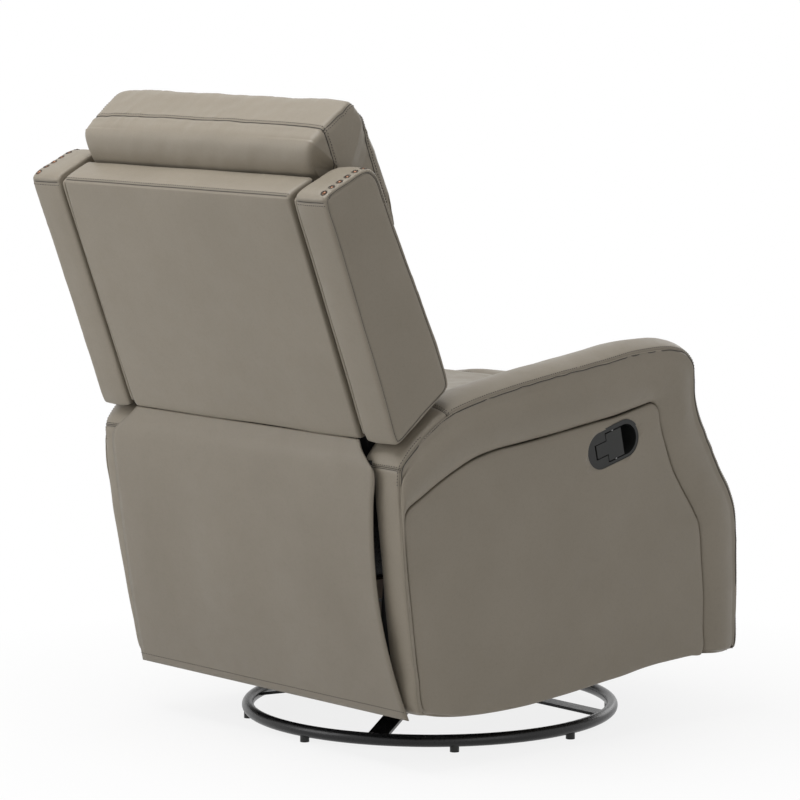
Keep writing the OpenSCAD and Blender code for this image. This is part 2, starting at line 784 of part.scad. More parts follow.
// A solid with round ends along the handle's length
module slot_solid(r, z0, h) {
  translate([0, 0, z0]) linear_extrude(h) {
    square([2 * bezel_half, 2 * r], center = true);
    for (s = [-1, 1]) translate([s * bezel_half, 0]) circle(r = r);
  }
}

flap_pin_x = bezel_half * 0.15;
stem_gap = 1.5;
recess_x = flap_pin_x - flap_reach - stem_gap;
flap_z = bezel_t - flap_t;
module handle_cup() {
  color(plastic) right_side() on_handle() difference() {
    union() {
      slot_solid(bezel_r, 0, bezel_t);
      slot_solid(cup_r, -cup_depth, cup_depth + bezel_t / 2);
    }
    // Finger recess, open round the flap and ahead of it
    translate([0, 0, -cup_depth + cup_wall]) linear_extrude(cup_depth + bezel_t) {
      translate([recess_x, -recess_w / 2]) square([bezel_half - recess_x, recess_w]);
      translate([bezel_half, 0]) circle(d = recess_w);
    }
    // Slot for the stem
    translate([recess_x - stem_len - stem_gap, -stem_w / 2 - stem_gap, -cup_depth + cup_wall])
      cube([stem_len + stem_gap + over, stem_w + 2 * stem_gap, cup_depth + bezel_t]);
    // Bore for the pin
    translate([flap_pin_x, -pin_len / 2, flap_z + flap_t / 2]) rotate([-90, 0, 0])
      cylinder(h = pin_len, d = flap_pin_d + 2 * run_gap);
  }
}

pin_len = recess_w + 2 * cup_wall;
module handle_pin() {
  color(bright_steel) right_side() on_handle()
    translate([flap_pin_x, -pin_len / 2 + clear, flap_z + flap_t / 2]) rotate([-90, 0, 0])
      cylinder(h = pin_len - 2 * clear, d = flap_pin_d);
}

module handle_flap() {
  color(plastic) right_side() on_handle() difference() {
    translate([0, 0, flap_z]) linear_extrude(flap_t) {
      translate([flap_pin_x - flap_reach, -flap_w / 2]) square([2 * flap_reach, flap_w]);
      translate([flap_pin_x - flap_reach - stem_len, -stem_w / 2]) square([stem_len + over, stem_w]);
    }
    translate([flap_pin_x, -flap_w, flap_z + flap_t / 2]) rotate([-90, 0, 0])
      cylinder(h = 2 * flap_w, d = flap_pin_d);
  }
}

// Release cable: from the back of the cup, down inside the arm, and through the board to the side plate
cable_route = [
  [339, -62, 484], [332, -62, 484], [324, -65, 480], [318, -73, 470], [315, -84, 452], [314, -98, 426],
  [314, -112, 398], [314, -126, 370], [313, -138, 347], [310, -146, 330], [305, -150, 321], [299, -150, 318],
  [290, -150, 318], [280, -150, 318], [264, -150, 318], [248, -150, 318]
];
cable_pass = [cable_route[12][1], cable_route[12][2]];
module release_cable() {
  color(webbing) right_side()
    loft(tube_rings(cable_route, [for (p = cable_route) [0, 1, 0.2]], cable_d / 2, 8));
}

// Pins that the back turns on, fixed in the side plates
bracket_out = plate_in - link_gap;
bracket_in = bracket_out - steel_t;
module shoulder_pin(at, d, inner) {
  x_rod(inner, plate_out - inner, at, d);
  x_rod(plate_out, head_h, at, d * 1.6);
  x_rod(inner - head_h, head_h, at, d * 1.5);
}

module recline_pins() {
  color(bright_steel) for (s = [0, 1]) mirror([s, 0, 0])
    shoulder_pin(recline_at, recline_pin_d, bracket_in - clear);
}

module lift_pins() {
  color(bright_steel) for (s = [0, 1]) mirror([s, 0, 0])
    x_rod(lift_in - 2 * head_h, plate_out - lift_in + 2 * head_h, lift_at, link_pin_d);
}

// Rear skirt: a hanging sheet, wider at its shoulders than at the panel that it hangs from
// Each row gives a height, a half width and how far back it hangs
edge_r = rear_t / 4;
// The skirt's top edge lies just under the bevel along the rear panel's lower edge
bevel_slope = (cos(lean) - sin(lean)) / (cos(lean) + sin(lean));
skirt_top = back_z + edge_r * sin(lean) + (edge_r * cos(lean) - skirt_t) * bevel_slope - clear;
skirt_shares = [
  [1, 0.848, 0], [0.965, 0.89, 0.1], [0.93, 0.95, 0.19], [0.89, 1, 0.22], [0.78, 0.988, 0.2],
  [0.66, 0.975, 0.13], [0.54, 0.968, 0.03], [0.42, 0.968, -0.1], [0.3, 0.975, -0.27], [0.18, 0.99, -0.48],
  [0.08, 1.005, -0.69], [0, 1.02, -0.88]
];
skirt_reach = 59;
skirt_columns = 10;
function skirt_line(row, back) = [for (j = [0:skirt_columns])
  let(q = 2 * j / skirt_columns - 1, s = back ? q : -q,
    h = mix(skirt_foot, skirt_top, row[0]),
    fold = skirt_swell * sin(180 * row[0]) * ((1 - abs(s)) / 4 + sin(540 * s) / 8))
  [s * row[1] * skirt_half, back_y + row[2] * skirt_reach + fold + (back ? 0 : -skirt_t), h]];
module back_skirt() {
  color(leather) loft([for (row = skirt_shares) concat(skirt_line(row, false), skirt_line(row, true))]);
}

// Back frame, behind the cushions
post_in = post_out - post_w;
frame_mid = rear_t + frame_t;
frame_front = frame_mid + frame_t;
wing_in = panel_half + wing_board_t + 2 * panel_gap;
board_in = panel_half + 2 * panel_gap;
ledge_t = 16;
rail_top = panel_len - ledge_t;
module back_posts() {
  color(wood) in_back() for (s = [0, 1]) mirror([s, 0, 0])
    translate([post_in, -frame_front, -post_drop]) cube([post_w, frame_t, post_drop + rail_top]);
}

module back_rail(reach, up) {
  translate([-reach, -frame_mid, up]) cube([2 * reach, frame_t, back_rail_w]);
}

module back_rails() {
  color(wood) in_back() {
    back_rail(board_in, rail_top - back_rail_w);
    back_rail(board_in, rail_top * 0.4);
    back_rail(half - cushion_gap, -back_rail_w * 1.2);
  }
}

module back_webbing() {
  color(webbing) in_back() for (i = [0:strap_count - 1])
    translate([-post_out, -frame_front - strap_t,
      mix(-post_drop / 2, rail_top - strap_w, i / (strap_count - 1))])
      cube([2 * post_out, strap_t, strap_w]);
}

// Steel bracket from the recline pin to the outside of a back post
back_pin = [
  (recline_y - back_y) * cos(lean) - (recline_z - back_z) * sin(lean),
  (recline_y - back_y) * sin(lean) + (recline_z - back_z) * cos(lean)
];
module back_bracket() {
  in_back() difference() {
    translate([bracket_in, 0, 0]) rotate([90, 0, 90]) linear_extrude(steel_t) union() {
      translate(back_pin) circle(d = link_w + recline_pin_d / 2);
      hull() {
        translate(back_pin) circle(d = link_w, $fn = 32);
        translate([-frame_front + frame_t / 2, -post_drop + frame_t]) circle(d = frame_t, $fn = 32);
      }
      translate([-frame_front, -post_drop + frame_t / 2]) square([frame_t, post_drop]);
    }
    x_rod(bracket_in - over, steel_t + 2 * over, back_pin, recline_pin_d + 2 * run_gap);
  }
}

module back_bracket_left() {
  color(dark_steel) back_bracket();
}

module back_bracket_right() {
  color(dark_steel) right_side() back_bracket();
}

// Rear panel with the ledge that the pillow stands on
ledge_rise = 5;
module back_panel() {
  color(leather) in_back() translate([-panel_half, 0, 0]) rotate([90, 0, 90]) linear_extrude(2 * panel_half)
    polygon([
      [-edge_r, 0], [0, edge_r], [0, panel_len - edge_r], [-edge_r, panel_len],
      [-ledge_d, panel_len + ledge_rise],
      [-ledge_d, rail_top], [-rear_t, rail_top], [-rear_t, edge_r], [-rear_t + edge_r, 0]
    ]);
}

// The wings stand on the arms, and this is their foot, measured up the back
wing_foot = (arm_top - arm_over_wing - back_z) / cos(lean);
// Cushion outlines in the back's frame: depth share from the frame forwards, and height share
back_shares = [
  [0, 0.1], [0, 0.24], [0, 0.5], [0, 0.76], [0, 0.97], [0.2, 0.99], [0.45, 0.99], [0.62, 0.975], [0.7, 0.95],
  [0.78, 0.9], [0.86, 0.855], [0.94, 0.815], [0.985, 0.75], [1, 0.62], [1, 0.4], [0.99, 0.27], [0.965, 0.17],
  [0.89, 0.08], [0.76, 0.025], [0.58, 0], [0.36, 0.01], [0.12, 0.045]
];
pillow_shares = [
  [0.02, 0.03], [0, 0.25], [0, 0.45], [-0.035, 0.51], [-0.035, 0.62], [0.01, 0.74], [0.1, 0.83], [0.24, 0.885],
  [0.4, 0.955], [0.53, 0.99], [0.63, 0.97], [0.7, 0.88], [0.76, 0.76], [0.81, 0.61], [0.86, 0.44], [0.89, 0.29],
  [0.905, 0.12], [0.915, -0.05], [0.915, -0.2], [0.895, -0.31], [0.84, -0.345], [0.78, -0.28], [0.7, -0.13],
  [0.6, -0.03], [0.45, 0], [0.18, 0.005]
];
pad_rear = frame_front + strap_t + clear;
pillow_z = panel_len - pillow_drop;
// The back cushion reaches down behind the seat, and up under the pillow's front, which hangs over it
back_pad_drop = 95;
pillow_gap = 2;
back_pad_z = -back_pad_drop;
back_pad_h = pillow_z - pillow_gap + back_pad_drop;
function back_outline(shares, depth, z0, high) =
  [for (s = shares) [-pad_rear - s[0] * depth, z0 + s[1] * high]];
back_ring = back_outline(back_shares, back_pad_t, back_pad_z, back_pad_h);
pillow_ring = back_outline(pillow_shares, pillow_t, pillow_z, pillow_h);
back_round = 34;
back_crown = 12;
pillow_round = 26;
side_gap = 1;
low_half = min(half, panel_half) - 6 * side_gap;
high_half = panel_half - side_gap;
pillow_half = wing_in - 8 * side_gap;
// The cushion is narrower between the arms than between the wings, and the pillow stands over the wings
width_blend = 30;
function width_at(z, top_half) = mix(
  mix(low_half, high_half, ease(0.6 + (z - wing_foot) / width_blend)),
  top_half,
  ease((z - panel_len) / width_blend - 0.1)
);
function back_section(ring, q, edge, top_half, pull) = [for (i = [0:len(ring) - 1])
  let(p = ring[i], o = outward(ring, i), front = o[0] < 0 ? -o[0] : 0, up = o[1] > 0 ? o[1] : 0,
    d = edge + back_crown * pow(abs(q), 3) * (front + up * 0.4) + pull * (front + up * 0.5),
    rear = o[0] > 0.7 ? 0.15 : 1)
  [q * width_at(p[1], top_half), p[0] - o[0] * d * rear, p[1] - o[1] * d]];
function back_places(round_r, steps) =
  let(reach = high_half) [for (x = across(reach, round_r, steps)) [x / reach, drawn_in(x, reach, round_r)]];

module back_cushion() {
  color(leather) in_back() loft([for (p = back_places(back_round, 8))
    back_section(back_ring, p[0], p[1], high_half, 0)]);
}

module headrest_pillow() {
  color(leather) in_back() loft([for (p = back_places(pillow_round, 12))
    back_section(pillow_ring, p[0], p[1], pillow_half, pillow_pull * exp(-pow(p[0] / 0.09, 2)))]);
}

// Wings: side outline as shares of the wing's depth and the rear panel's length
wing_shares = [
  [0.02, 0.004], [0, 0.02], [0, 0.25], [0, 0.5], [0, 0.75], [0, 0.972], [0.02, 0.99], [0.09, 1.003],
  [0.42, 1.013], [0.75, 1.018], [0.87, 1.01], [0.95, 0.985], [0.985, 0.945], [1.005, 0.75], [1.055, 0.55],
  [1.105, 0.375], [1.138, 0.24], [1.15, 0.13], [1.125, 0.098], [0.95, 0.074], [0.6, 0.044], [0.3, 0.02]
];
wing_outline = [for (s = wing_shares) [-s[0] * wing_d, mix(wing_foot, panel_len, s[1])]];
// Across a wing from its inner face: place as a share of its width, draw-in as a share of its rounding
wing_pad_shares = [[0, 0.5], [0.05, 0], [0.35, -0.25], [0.7, -0.17], [0.93, 0.08], [0.98, 0.42], [1, 1]];
module wing() {
  in_back() loft([for (s = wing_pad_shares)
    let(ring = swell(wing_outline, -s[1] * wing_round))
    [for (p = ring) [wing_in + s[0] * wing_w, p[0], p[1]]]]);
}

module wing_left() {
  color(leather) wing();
}

module wing_right() {
  color(leather) right_side() wing();
}

// The board is cut straight where the padding is rounded
wing_board_shares = [[0.08, 0.03], [0.08, 0.985], [0.9, 0.985], [0.93, 0.92], [0.98, 0.14], [0.9, 0.095]];
module wing_board() {
  in_back() translate([board_in, 0, 0]) rotate([90, 0, 90]) linear_extrude(wing_board_t)
    polygon([for (s = wing_board_shares) [-s[0] * wing_d, mix(wing_foot, panel_len, s[1])]]);
}

module wing_board_left() {
  color(wood) wing_board();
}

module wing_board_right() {
  color(wood) right_side() wing_board();
}

// Nail heads along the outer edge of a wing's top: low domes on the padding
nail_from_share = 0.1;
nail_to_share = 0.84;
nail_x = wing_in + wing_w - nail_d;
nail_draw = lookup((nail_x - wing_in) / wing_w, wing_pad_shares) * wing_round;
nail_line = [for (i = [6:10]) [-wing_outline[i][0], wing_outline[i][1] - nail_draw]];
dome_r = (pow(nail_d / 2, 2) + nail_h * nail_h) / (2 * nail_h);
module nail(depth) {
  slope = (lookup(depth + nail_d / 2, nail_line) - lookup(depth - nail_d / 2, nail_line)) / nail_d;
  translate([nail_x, -depth, lookup(depth, nail_line)]) rotate([-atan(slope), 0, 0])
    rotate_extrude() intersection() {
      translate([0, nail_h - dome_r]) circle(r = dome_r, $fn = 64);
      square([nail_d / 2, nail_h]);
    }
}

module nailheads() {
  in_back() for (i = [0:nail_count - 1])
    nail(wing_d * mix(nail_from_share, nail_to_share, i / (nail_count - 1)));
}

module nailheads_left() {
  color(bronze) nailheads();
}

module nailheads_right() {
  color(bronze) right_side() nailheads();
}

// Footrest linkage, shut: the lift link hangs down and back, the reach link climbs to the footboard
joint_b = [-lift_y - link_len * cos(lift_shut), lift_z - link_len * sin(lift_shut)];
joint_c = [joint_b[0] - link_len * cos(reach_shut), joint_b[1] + link_len * sin(reach_shut)];
module lift_link() {
  difference() {
    flat_link(lift_in, steel_t, lift_at, joint_b, link_w);
    x_rod(lift_in - over, steel_t + 2 * over, lift_at, link_pin_d + 2 * run_gap);
    x_rod(lift_in - over, steel_t + 2 * over, joint_b, link_pin_d + 2 * run_gap);
  }
}

module lift_link_left() {
  color(dark_steel) lift_link();
}

module lift_link_right() {
  color(dark_steel) right_side() lift_link();
}

module drive_tube() {
  color(dark_steel) difference() {
    x_rod(-lift_in, 2 * lift_in, lift_at, drive_d);
    x_rod(-lift_in - over, 2 * (lift_in + over), lift_at, drive_d - 2 * drive_wall);
  }
}

module reach_link() {
  difference() {
    flat_link(reach_in, steel_t, joint_b, joint_c, link_w);
    x_rod(reach_in - over, steel_t + 2 * over, joint_b, link_pin_d);
    x_rod(reach_in - over, steel_t + 2 * over, joint_c, link_pin_d);
  }
}

module reach_link_left() {
  color(dark_steel) reach_link();
}

module reach_link_right() {
  color(dark_steel) right_side() reach_link();
}

// Pins fixed in the reach links, one in the lift link's bore and one in the footrest bracket's bore
module reach_pins() {
  color(bright_steel) for (s = [0, 1]) mirror([s, 0, 0]) for (p = [joint_b, joint_c]) {
    x_rod(reach_in, lift_out - reach_in, p, link_pin_d);
    x_rod(reach_in - head_h, head_h, p, head_d);
  }
}

foot_y = joint_c[0] - foot_ahead;
module footrest_bracket() {
  difference() {
    translate([lift_in, 0, 0]) rotate([90, 0, 90]) linear_extrude(steel_t) union() {
      translate(joint_c) circle(d = link_w);
      translate([foot_y, joint_c[1] - 2 * link_w]) square([foot_ahead - link_w / 8, 4 * link_w]);
    }
    x_rod(lift_in - over, steel_t + 2 * over, joint_c, link_pin_d + 2 * run_gap);
  }
}

module footrest_bracket_left() {
  color(dark_steel) footrest_bracket();
}

module footrest_bracket_right() {
  color(dark_steel) right_side() footrest_bracket();
}

module footrest_board() {
  color(wood) translate([-foot_half, foot_front, joint_c[1] - foot_down])
    cube([2 * foot_half, foot_board_t, foot_up + foot_down]);
}

// Footrest padding: outline as shares of its thickness and height
foot_shares = [
  [0, 0.03], [0, 0.25], [0, 0.5], [0, 0.75], [0, 0.97], [0.3, 1], [0.62, 0.995], [0.84, 0.97], [0.95, 0.92],
  [0.99, 0.82], [1, 0.65], [1, 0.5], [1, 0.35], [0.99, 0.18], [0.95, 0.08], [0.84, 0.03], [0.62, 0.005], [0.3, 0]
];
foot_lip = 4;
foot_pad_h = foot_up + foot_down + 2 * foot_lip;
foot_front = foot_y - foot_board_t;
foot_ring = [for (s = foot_shares)
  [foot_front - s[0] * foot_pad_t, joint_c[1] - foot_down - foot_lip + s[1] * foot_pad_h]];
foot_round = 24;
foot_crown = 9;
function foot_section(x) =
  let(reach = foot_half + foot_lip, d = drawn_in(x, reach, foot_round), q = abs(x) / reach)
  [for (i = [0:len(foot_ring) - 1])
    let(p = foot_ring[i], o = outward(foot_ring, i), front = o[0] < 0 ? -o[0] : 0)
    [x, min(p[0] + front * (d + foot_crown * q * q), foot_front), p[1] - o[1] * d * 0.4]];
module footrest_pad() {
  color(leather) loft([for (x = across(foot_half + foot_lip, foot_round, 10)) foot_section(x)]);
}

base_ring();
base_spokes();
base_glides();
swivel_lower_plate();
bearing_balls();
swivel_bolt();
swivel_upper_plate();
platform_crossbars();
rocker_rails();
lower_spring_shelves();
rocker_springs_left();
rocker_springs_right();
rocker_cam_left();
rocker_cam_right();
upper_spring_shelves();
side_plate_left();
side_plate_right();
seat_side_rails();
seat_cross_rails();
low_rear_rail();
seat_springs();
frame_bolts();
seat_cushion();
arm_board_left();
arm_board_right();
arm_pad_left();
arm_pad_right();
arm_panel_left();
arm_panel_right();
handle_cup();
release_cable();
recline_pins();
back_skirt();
lift_pins();
handle_flap();
handle_pin();
back_posts();
back_rails();
back_webbing();
back_bracket_left();
back_bracket_right();
back_panel();
back_cushion();
headrest_pillow();
wing_board_left();
wing_board_right();
wing_left();
wing_right();
nailheads_left();
nailheads_right();
lift_link_left();
lift_link_right();
drive_tube();
reach_link_left();
reach_link_right();
reach_pins();
footrest_bracket_left();
footrest_bracket_right();
footrest_board();
footrest_pad();
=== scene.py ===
import json
import math
import random

import bmesh
import bpy
import numpy as np
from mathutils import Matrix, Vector
from mathutils.bvhtree import BVHTree
from mathutils.kdtree import KDTree


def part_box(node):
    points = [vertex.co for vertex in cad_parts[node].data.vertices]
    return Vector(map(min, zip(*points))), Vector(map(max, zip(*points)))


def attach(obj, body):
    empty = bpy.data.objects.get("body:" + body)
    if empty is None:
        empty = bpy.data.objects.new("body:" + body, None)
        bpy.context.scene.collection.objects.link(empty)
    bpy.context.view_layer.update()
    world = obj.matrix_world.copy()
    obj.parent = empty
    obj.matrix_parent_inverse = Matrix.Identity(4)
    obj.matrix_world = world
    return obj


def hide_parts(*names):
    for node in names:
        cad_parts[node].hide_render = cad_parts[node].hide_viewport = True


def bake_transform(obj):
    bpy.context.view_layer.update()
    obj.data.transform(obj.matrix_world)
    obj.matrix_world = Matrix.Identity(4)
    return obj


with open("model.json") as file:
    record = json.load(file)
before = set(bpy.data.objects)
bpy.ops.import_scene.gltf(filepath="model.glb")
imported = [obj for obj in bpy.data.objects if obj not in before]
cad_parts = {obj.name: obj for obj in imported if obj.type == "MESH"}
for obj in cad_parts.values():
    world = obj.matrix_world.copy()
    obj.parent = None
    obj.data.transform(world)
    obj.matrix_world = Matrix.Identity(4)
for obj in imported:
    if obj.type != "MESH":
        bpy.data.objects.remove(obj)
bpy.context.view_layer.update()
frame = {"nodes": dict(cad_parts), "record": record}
nodes = frame["nodes"]

# Sizes of the frame, in millimetres as in the CAD source
MM = 0.001
ARM_IN, BOARD_T, OUTER = 280, 18, 380
ARM_FRONT, ARM_LEN, ARM_FOOT, ARM_H = 368, 764, 77, 556
ARM_TOP = ARM_FOOT + ARM_H
TAPER = math.tan(math.radians(2.9))
ARM_CROWN = 15
LEAN = math.radians(20.6)
BACK_Y, BACK_Z = 399, 523
PANEL_HALF, PANEL_LEN = 283, 411
WING_IN, WING_OUT, WING_D = 298, 369.3, 113
PAD_REAR = 64
START_IN = 6  # room that a cushion starts with before it is swollen

# Side outlines as shares of each piece's length and height

ARM = [
    (0.924, 0.041), (0.942, 0.149), (0.957, 0.252), (0.974, 0.385), (0.99, 0.56), (0.999, 0.671), (0.998, 0.735),
    (0.975, 0.778), (0.927, 0.833), (0.874, 0.876), (0.79, 0.908), (0.698, 0.93), (0.594, 0.951), (0.49, 0.969),
    (0.42, 0.982), (0.356, 0.995), (0.285, 1), (0.233, 0.996), (0.193, 0.977), (0.17, 0.945), (0.163, 0.899),
    (0.157, 0.842), (0.144, 0.788), (0.12, 0.727), (0.093, 0.667), (0.067, 0.61), (0.039, 0.554), (0.021, 0.493),
    (0.01, 0.401), (0.004, 0.293), (0.001, 0.167), (0.002, 0.066), (0.089, 0.063), (0.175, 0.059), (0.272, 0.052),
    (0.36, 0.038), (0.449, 0.023), (0.541, 0.011), (0.626, 0.002), (0.715, 0), (0.783, 0.005), (0.843, 0.014),
    (0.89, 0.027),
]
PANEL = [
    (0.913, 0.05), (0.931, 0.149), (0.946, 0.252), (0.963, 0.385), (0.979, 0.527), (0.985, 0.585), (0.976, 0.619),
    (0.935, 0.655), (0.889, 0.691), (0.843, 0.721), (0.8, 0.743), (0.749, 0.759), (0.685, 0.77), (0.62, 0.779),
    (0.488, 0.802), (0.43, 0.812), (0.387, 0.821), (0.318, 0.84), (0.29, 0.845), (0.275, 0.829), (0.266, 0.788),
    (0.253, 0.743), (0.237, 0.694), (0.22, 0.647), (0.194, 0.594), (0.166, 0.541), (0.147, 0.504), (0.13, 0.464),
    (0.117, 0.365), (0.106, 0.246), (0.102, 0.149), (0.1, 0.074), (0.139, 0.072), (0.2, 0.068), (0.279, 0.061),
    (0.36, 0.047), (0.449, 0.032), (0.541, 0.02), (0.626, 0.011), (0.715, 0.009), (0.776, 0.014), (0.832, 0.023),
    (0.88, 0.036),
]
WING = [
    (0.02, 0.004), (0, 0.02), (0, 0.25), (0, 0.5), (0, 0.75), (0, 0.972), (0.02, 0.99), (0.09, 1.003), (0.42, 1.013),
    (0.75, 1.018), (0.87, 1.01), (0.95, 0.985), (0.985, 0.945), (1.03, 0.75), (1.095, 0.55), (1.145, 0.375),
    (1.17, 0.24), (1.175, 0.13), (1.14, 0.098), (0.95, 0.074), (0.6, 0.044), (0.3, 0.02),
]


# Curves and surfaces

def spline(points, per, closed=True):
    """Centripetal Catmull-Rom through the points, with per samples on each stretch."""
    p = np.asarray(points, float)
    n = len(p)
    out = []
    for i in range(n if closed else n - 1):
        if closed:
            a, b, c, d = p[i - 1], p[i], p[(i + 1) % n], p[(i + 2) % n]
        else:
            b, c = p[i], p[i + 1]
            a = p[i - 1] if i else 2 * b - c
            d = p[i + 2] if i + 2 < n else 2 * c - b
        t0, t1 = 0.0, max(np.linalg.norm(b - a), 1e-9) ** 0.5
        t2 = t1 + max(np.linalg.norm(c - b), 1e-9) ** 0.5
        t3 = t2 + max(np.linalg.norm(d - c), 1e-9) ** 0.5
        t = np.linspace(t1, t2, per, endpoint=False)[:, None]
        a1 = (t1 - t) / (t1 - t0) * a + (t - t0) / (t1 - t0) * b
        a2 = (t2 - t) / (t2 - t1) * b + (t - t1) / (t2 - t1) * c
        a3 = (t3 - t) / (t3 - t2) * c + (t - t2) / (t3 - t2) * d
        b1 = (t2 - t) / (t2 - t0) * a1 + (t - t0) / (t2 - t0) * a2
        b2 = (t3 - t) / (t3 - t1) * a2 + (t - t1) / (t3 - t1) * a3
        out.append((t2 - t) / (t2 - t1) * b1 + (t - t1) / (t2 - t1) * b2)
    if not closed:
        out.append(p[-1:])
    return np.concatenate(out)


def resample(path, step, closed=False):
    """Points at even steps along a path."""
    p = np.asarray(path, float)
    if closed:
        p = np.concatenate([p, p[:1]])
    run = np.concatenate([[0], np.cumsum(np.linalg.norm(np.diff(p, axis=0), axis=1))])
    count = max(int(round(run[-1] / step)), 2)
    at = np.linspace(0, run[-1], count + 1)
    if closed:
        at = at[:-1]
    return np.stack([np.interp(at, run, p[:, k]) for k in range(p.shape[1])], 1)


def unit(v):
    """Rows made one long, where they have a length."""
    return v / np.maximum(np.linalg.norm(v, axis=1), 1e-12)[:, None]


def outward(ring):
    """Directions out of a closed ring of (y, z) points that runs up the rear and down the front."""
    t = unit(np.roll(ring, -1, 0) - np.roll(ring, 1, 0))
    return np.stack([t[:, 1], -t[:, 0]], 1)


def smooth(x):
    """An even rise from 0 to 1."""
    x = np.clip(x, 0, 1)
    return x * x * (3 - 2 * x)


def to_spine(ring, spine):
    """From each point of a flat ring to the nearest place on its spine, a straight stretch inside it."""
    a, b = np.asarray(spine, float)
    along = np.clip(((ring - a) @ (b - a)) / ((b - a) @ (b - a)), 0, 1)
    return a + along[:, None] * (b - a) - ring


def draw_in(ring, spine, depth):
    """The ring drawn in by a depth in millimetres towards its spine."""
    way = to_spine(ring, spine)
    return ring + way * np.minimum(depth / np.linalg.norm(way, axis=1), 0.9)[:, None]


def shrink(ring, spine, share):
    """The ring drawn in by a share of the way to its spine."""
    return ring + to_spine(ring, spine) * share


def in_back(x, f, u):
    """World points, in metres, for places across, forwards of the rear panel and up the back, in millimetres."""
    x, f, u = np.broadcast_arrays(np.asarray(x, float), f, u)
    y = BACK_Y - f * math.cos(LEAN) + u * math.sin(LEAN)
    z = BACK_Z + f * math.sin(LEAN) + u * math.cos(LEAN)
    return np.stack([x, y, z], -1) * MM


def back_place(co):
    """How far forwards of the rear panel and up the back points in metres lie, in millimetres."""
    y, z = co[:, 1] / MM - BACK_Y, co[:, 2] / MM - BACK_Z
    return -y * math.cos(LEAN) + z * math.sin(LEAN), y * math.sin(LEAN) + z * math.cos(LEAN)


def ring_in_back(x, ring):
    return in_back(x, ring[:, 0], ring[:, 1])


def across(half, ends, between):
    """Places across a piece with their draw-in: both its ends and the places between them."""
    return [(x - half, d) for x, d in ends] + [(x, 0) for x in between] + [(half - x, d) for x, d in reversed(ends)]


def wave(p, seed, size):
    """Smooth repeatable undulation at points, between about -1 and 1, with features of about that size."""
    r = random.Random(seed)
    total = np.zeros(len(p))
    for k in range(7):
        d = np.array([r.uniform(-1, 1) for _ in range(3)])
        d /= np.linalg.norm(d)
        total += np.sin(p @ d * (2 * math.pi / size) * r.uniform(0.6, 1.6) + r.uniform(0, 6.28))
    return total / 3.2


def add_mesh(name, verts, faces, material, body=None):
    me = bpy.data.meshes.new(name)
    me.from_pydata([tuple(v) for v in verts], [], [tuple(f) for f in faces])
    me.polygons.foreach_set("use_smooth", [True] * len(me.polygons))
    me.update()
    ob = bpy.data.objects.new(name, me)
    bpy.context.scene.collection.objects.link(ob)
    me.materials.append(material)
    if body:
        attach(ob, body)
    return ob


def closed_normals(ob):
    bm = bmesh.new()
    bm.from_mesh(ob.data)
    bmesh.ops.recalc_face_normals(bm, faces=bm.faces)
    bm.to_mesh(ob.data)
    bm.free()
    ob.data.update()


def loft(name, rings, material, body, fan=False):
    """Closed skin over rings of equal point counts, closed at both ends."""
    rings = [np.asarray(r, float) for r in rings]
    m, n = len(rings), len(rings[0])
    verts = list(np.concatenate(rings))
    faces = []
    for i in range(m - 1):
        for j in range(n):
            k = (j + 1) % n
            faces.append((i * n + j, i * n + k, (i + 1) * n + k, (i + 1) * n + j))
    for start, ring in ((0, rings[0]), ((m - 1) * n, rings[-1])):
        if fan:
            verts.append(ring.mean(0))
            faces += [(len(verts) - 1, start + j, start + (j + 1) % n) for j in range(n)]
        else:
            faces.append(tuple(range(start, start + n)))
    ob = add_mesh(name, verts, faces, material, body)
    closed_normals(ob)
    return ob


class Threads:
    """Dark seam lines of painted shade, welt cords and stitches, gathered into one mesh for each body and kind."""

    def __init__(self):
        self.parts = {}

    def add(self, key, verts, faces):
        v, f = self.parts.setdefault(key, ([], []))
        base = len(v)
        v += [tuple(p) for p in verts]
        f += [tuple(i + base for i in face) for face in faces]

    def tube(self, key, path, normals, radius, closed=False, sides=6):
        path = np.asarray(path)
        n = len(path)
        tang = unit(tangents(path, closed))
        side = unit(np.cross(tang, normals))
        up = np.cross(side, tang)
        verts, faces = [], []
        for i in range(n):
            r = radius * (1 if closed or 0 < i < n - 1 else 0.35)
            for k in range(sides):
                a = 2 * math.pi * k / sides
                verts.append(path[i] + r * (math.cos(a) * side[i] + math.sin(a) * up[i]))
        for i in range(n if closed else n - 1):
            for k in range(sides):
                b, c = i * sides, (i + 1) % n * sides
                faces.append((b + k, b + (k + 1) % sides, c + (k + 1) % sides, c + k))
        if not closed:
            faces += [tuple(range(sides))[::-1], tuple(range((n - 1) * sides, n * sides))]
        self.add(key, verts, faces)

    def stitches(self, key, path, normals, length, radius):
        """One short thread at each point of the path."""
        for p, t, n in zip(path, tangents(path, False), normals):
            t = t / max(np.linalg.norm(t), 1e-9)
            s = np.cross(t, n)
            s /= max(np.linalg.norm(s), 1e-9)
            verts = []
            for along, wide in ((-0.5, 0.35), (-0.3, 1), (0.3, 1), (0.5, 0.35)):
                c = p + t * length * along + n * radius * (0.15 if wide == 1 else -0.35)
                for k in range(5):
                    a = 2 * math.pi * k / 5
                    verts.append(c + radius * wide * (math.cos(a) * s + math.sin(a) * n))
            faces = [(r * 5 + k, r * 5 + (k + 1) % 5, (r + 1) * 5 + (k + 1) % 5, (r + 1) * 5 + k)
                     for r in range(3) for k in range(5)]
            faces += [(4, 3, 2, 1, 0), (15, 16, 17, 18, 19)]
            self.add(key, verts, faces)


threads = Threads()
SIDES = ((1, "left"), (-1, "right"))
STITCH_LEN, STITCH_R, ROW = 0.003, 0.0006, 0.0045


